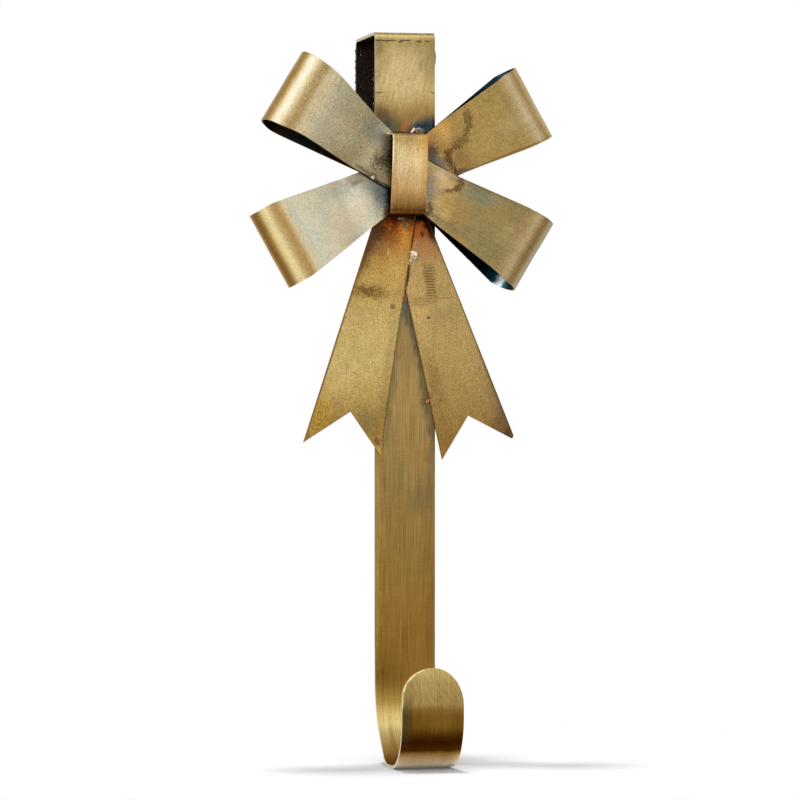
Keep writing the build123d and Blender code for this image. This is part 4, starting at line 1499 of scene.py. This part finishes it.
def bow_strip(name, node, left, right, skins):
    """Two loops of one strip, joined at the middle of its back."""
    bm = bow_loop(left, 0)
    other = bow_loop(right, RIGHT_SKIN)
    spare = bpy.data.meshes.new("spare")
    other.to_mesh(spare)
    other.free()
    bm.from_mesh(spare)
    bpy.data.meshes.remove(spare)
    bmesh.ops.remove_doubles(bm, verts=bm.verts, dist=MERGE_DISTANCE)
    hammered(bm, size=22.0, depth=0.35)
    finished(bm, name, skins, node, BOW_SHEET)


back_skins = [lower_left_skin, lower_left_inside, bow_edge, upper_right_skin, upper_right_inside, bow_edge]
front_skins = [upper_left_skin, upper_left_inside, bow_edge, lower_right_skin, lower_right_inside_with_glint, bow_edge]
bow_strip("back_bow_strip", "bow_strip_back", lower_left, upper_right, back_skins)
bow_strip("front_bow_strip", "bow_strip_front", upper_left, lower_right, front_skins)

# %% [markdown]
# ## Knot
# A short band is bent over the crossing of the two strips. Its front leans back towards the top and is
# brushed from end to end, so the finish is a run of colours along its height with lines in it and many
# small dark specks. Bright lines along the rims of its face, and the near-white top of its edge, are
# painted highlights.

# %% Knot finish
knot_finish, place = new_finish("brushed_knot_brass")
ragged = place.ragged(4.0, 2.5)
knot_bands = [
    (-91, (54, 29, 5)), (-88, (104, 66, 22)), (-85, (168, 121, 63)), (-81, (196, 149, 87)),
    (-76, (221, 180, 119)), (-70, (224, 190, 134)), (-63, (230, 199, 144)), (-57, (212, 183, 126)),
    (-53, (180, 150, 92)), (-49, (138, 116, 78)),
]
level = place.axis("Z") + place.sway((2.5, 2.5, 18.0), 3.0) * 5.0
knot_stains = [
    (6.4, -53.5, 3.6, 5.0, 0, 0.6, 0.6, (186, 136, 54)),
    (7.6, -66.0, 1.8, 15.0, 0, 0.7, 0.55, (204, 150, 70)),
    (-7.6, -74.0, 1.4, 14.0, 0, 0.7, 0.35, (182, 138, 76)),
    (0.5, -50.6, 8.0, 0.9, 0, 0.6, 0.5, (96, 84, 62)),
    (-4.0, -62.0, 2.4, 8.0, 0, 0.8, 0.3, (240, 222, 176)),
    (4.8, -66.0, 3.0, 13.0, 0, 0.8, 0.35, (246, 216, 152)),
]
# Painted highlights along the left and right rims of the face.
knot_rim_highlights = [
    (-8.4, -58.0, 0.38, 8.0, 0, 0.5, 0.9, (250, 236, 204)),
    (8.9, -66.0, 0.35, 15.0, 0, 0.5, 0.7, (226, 164, 74)),
]
fine_lines = place.grain((0.32, 6.0, 6.0), 3.0)
wide_lines = place.sway((1.5, 9.0, 9.0), 3.0)
grit = place.sway(0.45, 2.0)
colour = stained(banded(level, knot_bands), ragged, knot_stains, (fine_lines - 0.5) * 1.5)
colour = stained(colour, place, knot_rim_highlights)
tone = 1 + (fine_lines - 0.5) * 1.1 + wide_lines * 0.3 + grit * 1.4
colour = colour.vector("SCALE", scale=tone)
long_specks = place.ragged(0.6, 0.6).placed(size=(1, 1, 2.4)).specks(1.3, 0.35, 0.22)
colour = colour.mixed(linear(92, 62, 28), long_specks * 0.65)
metal(knot_finish, colour, 0.3 + fine_lines * 0.12, fine_lines * 0.012)
knot_edge, place = new_finish("knot_edge")
# Painted highlight: the near-white top of the edge.
knot_edge_bands_and_highlight = [
    (-91, (80, 50, 22)), (-78, (140, 100, 52)), (-62, (226, 196, 140)), (-50, (250, 240, 216)),
]
metal(knot_edge, banded(place.axis("Z"), knot_edge_bands_and_highlight), 0.32)

# %% [markdown]
# The band is drawn in the order in which it was bent: out from the strap at the top, over a tight bend,
# down the curved face and back in at the foot. The slants at both ends of the face and the height of the
# knot settle the radius of the face, and the foot has to end on the tails, so the length of the top
# follows as well.

# %% Knot
KNOT_CENTRE_X = 0.2
KNOT_WIDTH = 17.8
KNOT_TOP = -49.3
KNOT_HEIGHT = 40.6
KNOT_RADII = (3.0, 3.5)
KNOT_SLANTS = (6.0, 16.0)
KNOT_END_RUN = 1.6
upper, lower = (radians(slant) for slant in KNOT_SLANTS)
upper_drop = KNOT_RADII[0] * (1 + sin(upper))
lower_drop = KNOT_RADII[1] * (1 - sin(lower))
face_radius = (KNOT_HEIGHT - BOW_SHEET - upper_drop - lower_drop) / (sin(lower) - sin(upper))
face_fall = face_radius * (cos(upper) - cos(lower)) + KNOT_RADII[1] * cos(lower)
knot_top_run = TAIL_SHEET + KNOT_END_RUN + face_fall - KNOT_RADII[0] * cos(upper)
knot_moves = [
    (knot_top_run, KNOT_RADII[0], 90 + KNOT_SLANTS[0]),
    (0, face_radius, KNOT_SLANTS[1] - KNOT_SLANTS[0]),
    (0, KNOT_RADII[1], 90 - KNOT_SLANTS[1]),
    (KNOT_END_RUN, 0, 0),
]
bm = bmesh.new()
knot_start = (KNOT_CENTRE_X - KNOT_WIDTH / 2, strap_front, KNOT_TOP - BOW_SHEET / 2)
drawn_line(bm, knot_start, (0, -1, 0), (1, 0, 0), knot_moves)
widened(bm, Vector((KNOT_WIDTH, 0, 0)))
hammered(bm, size=9.0, depth=0.2)
knot_skin = [knot_finish, knot_finish, knot_edge]
finished(bm, "knot", knot_skin, "knot_band", BOW_SHEET, edge=0.15)

# %% [markdown]
# ## Weld beads
# The welder held the bow together with a few drops of filler. Each drop froze in its own way, so balls
# alone look wrong: a bead is a chain of small lumps, and noise pushes their skin in and out. The
# near-white spots on the beads are painted highlights.

# %% Weld finish
weld_finish, place = new_finish("weld_metal")
ragged = place.ragged(1.2, 0.8)
lumpy = place.grain(0.9, 3.0)
colour = banded(lumpy, [(0.3, (130, 108, 82)), (0.5, (206, 190, 162)), (0.68, (240, 230, 208))])
weld_stains_and_highlights = [
    (-17.0, -71.4, 3.0, 3.0, 0, 0.3, 0.6, (176, 178, 174)),
    (22.0, -69.0, 3.4, 3.0, 0, 0.3, 0.75, (150, 104, 80)),
    (7.6, -47.9, 2.6, 1.2, 0, 0.4, 0.9, (70, 78, 82)),
    # Painted highlights: the bright top and near-white spot of the bead above the knot.
    (7.6, -46.3, 2.6, 0.6, 0, 0.5, 0.5, (190, 196, 182)),
    (5.1, -48.0, 0.8, 0.9, 0, 0.5, 0.8, (206, 128, 82)),
    (3.8, -47.3, 0.9, 1.3, -30, 0.5, 0.8, (255, 240, 210)),
    (3.4, -111.6, 1.9, 2.2, 20, 0.4, 0.75, (176, 148, 112)),
    (1.8, -113.6, 1.2, 1.2, 0, 0.4, 0.8, (166, 120, 84)),
    # Painted highlight on the bead below the knot.
    (4.6, -108.6, 2.0, 1.0, -20, 0.5, 0.8, (246, 238, 212)),
    (-2.4, -91.2, 2.2, 1.5, 0, 0.4, 0.9, (92, 72, 54)),
    (-0.7, -93.6, 1.0, 2.0, 10, 0.4, 0.9, (58, 52, 44)),
    (11.2, -182.4, 3.0, 3.0, 0, 0.3, 0.85, (150, 88, 52)),
]
colour = stained(colour, ragged, weld_stains_and_highlights)
metal(weld_finish, colour, 0.3 + lumpy * 0.2)

# %% [markdown]
# Each lump is a ball with three half sizes. Its row gives the place on the front, the distance in front
# of the strap, and half its width, depth and height. Lumps that belong to one bead overlap and read as
# one drop.

# %% Weld beads
BEAD_ROUGHNESS, BEAD_GRAIN = 0.18, 1.3
weld_lumps = [
    (7.4, -48.1, 0.1, 2.4, 0.8, 1.6), (5.9, -46.7, 0.4, 1.0, 0.5, 0.3), (7.1, -46.4, 0.5, 1.1, 0.5, 0.28),
    (8.3, -46.8, 0.4, 1.0, 0.5, 0.3), (9.2, -47.4, 0.3, 0.8, 0.4, 0.35), (3.3, -48.2, 0.6, 0.8, 0.7, 0.7),
    (3.9, -47.5, 0.7, 0.8, 0.8, 0.9), (4.6, -46.7, 0.6, 0.5, 0.6, 0.9),
    (4.1, -110.3, 0.9, 1.9, 0.55, 2.3), (2.7, -107.9, 1.0, 1.0, 0.6, 0.55),
    (3.9, -107.9, 1.1, 1.1, 0.7, 0.7), (5.1, -108.5, 1.2, 1.0, 0.7, 0.9),
    (5.6, -109.7, 1.1, 0.8, 0.7, 1.1), (5.0, -111.1, 1.1, 0.9, 0.6, 1.0),
    (2.9, -112.4, 0.8, 1.2, 0.5, 1.1), (1.9, -113.5, 0.7, 0.9, 0.4, 0.9),
    (-17.1, -71.2, 4.4, 1.25, 1.1, 1.25), (-18.4, -70.6, 3.8, 0.9, 0.8, 0.7),
    (20.2, -69.0, 4.4, 1.2, 0.9, 1.1), (21.9, -67.9, 4.2, 1.1, 0.9, 1.0), (21.6, -69.8, 4.3, 0.8, 0.7, 0.7),
    (-1.2, -91.4, 0.9, 0.6, 0.7, 1.0), (-2.7, -91.2, 0.8, 1.2, 0.6, 0.9), (-0.6, -93.5, 0.9, 0.5, 0.4, 1.5),
    (11.2, -182.4, 0.6, 1.1, 1.0, 1.3), (12.0, -181.6, 0.7, 0.9, 0.9, 0.9),
]
bm = bmesh.new()
for x, z, ahead, wide, deep, tall in weld_lumps:
    lump = Matrix.Translation((x, strap_front - ahead, z)) @ Matrix.Diagonal((wide, deep, tall, 1.0))
    bmesh.ops.create_icosphere(bm, subdivisions=3, radius=1.0, matrix=lump)
bm.normal_update()
for vert in bm.verts:
    vert.co += vert.normal * (BEAD_ROUGHNESS * noise.noise(vert.co * BEAD_GRAIN))
finished(bm, "weld_beads_rough", [weld_finish], "weld_beads")

# %% [markdown]
# ## Box of the solids
# The last cell prints the box of the solids in millimetres.

# %% Box of the solids
print("solids", [[round(v / MM, 2) for v in corner] for corner in cad_box])
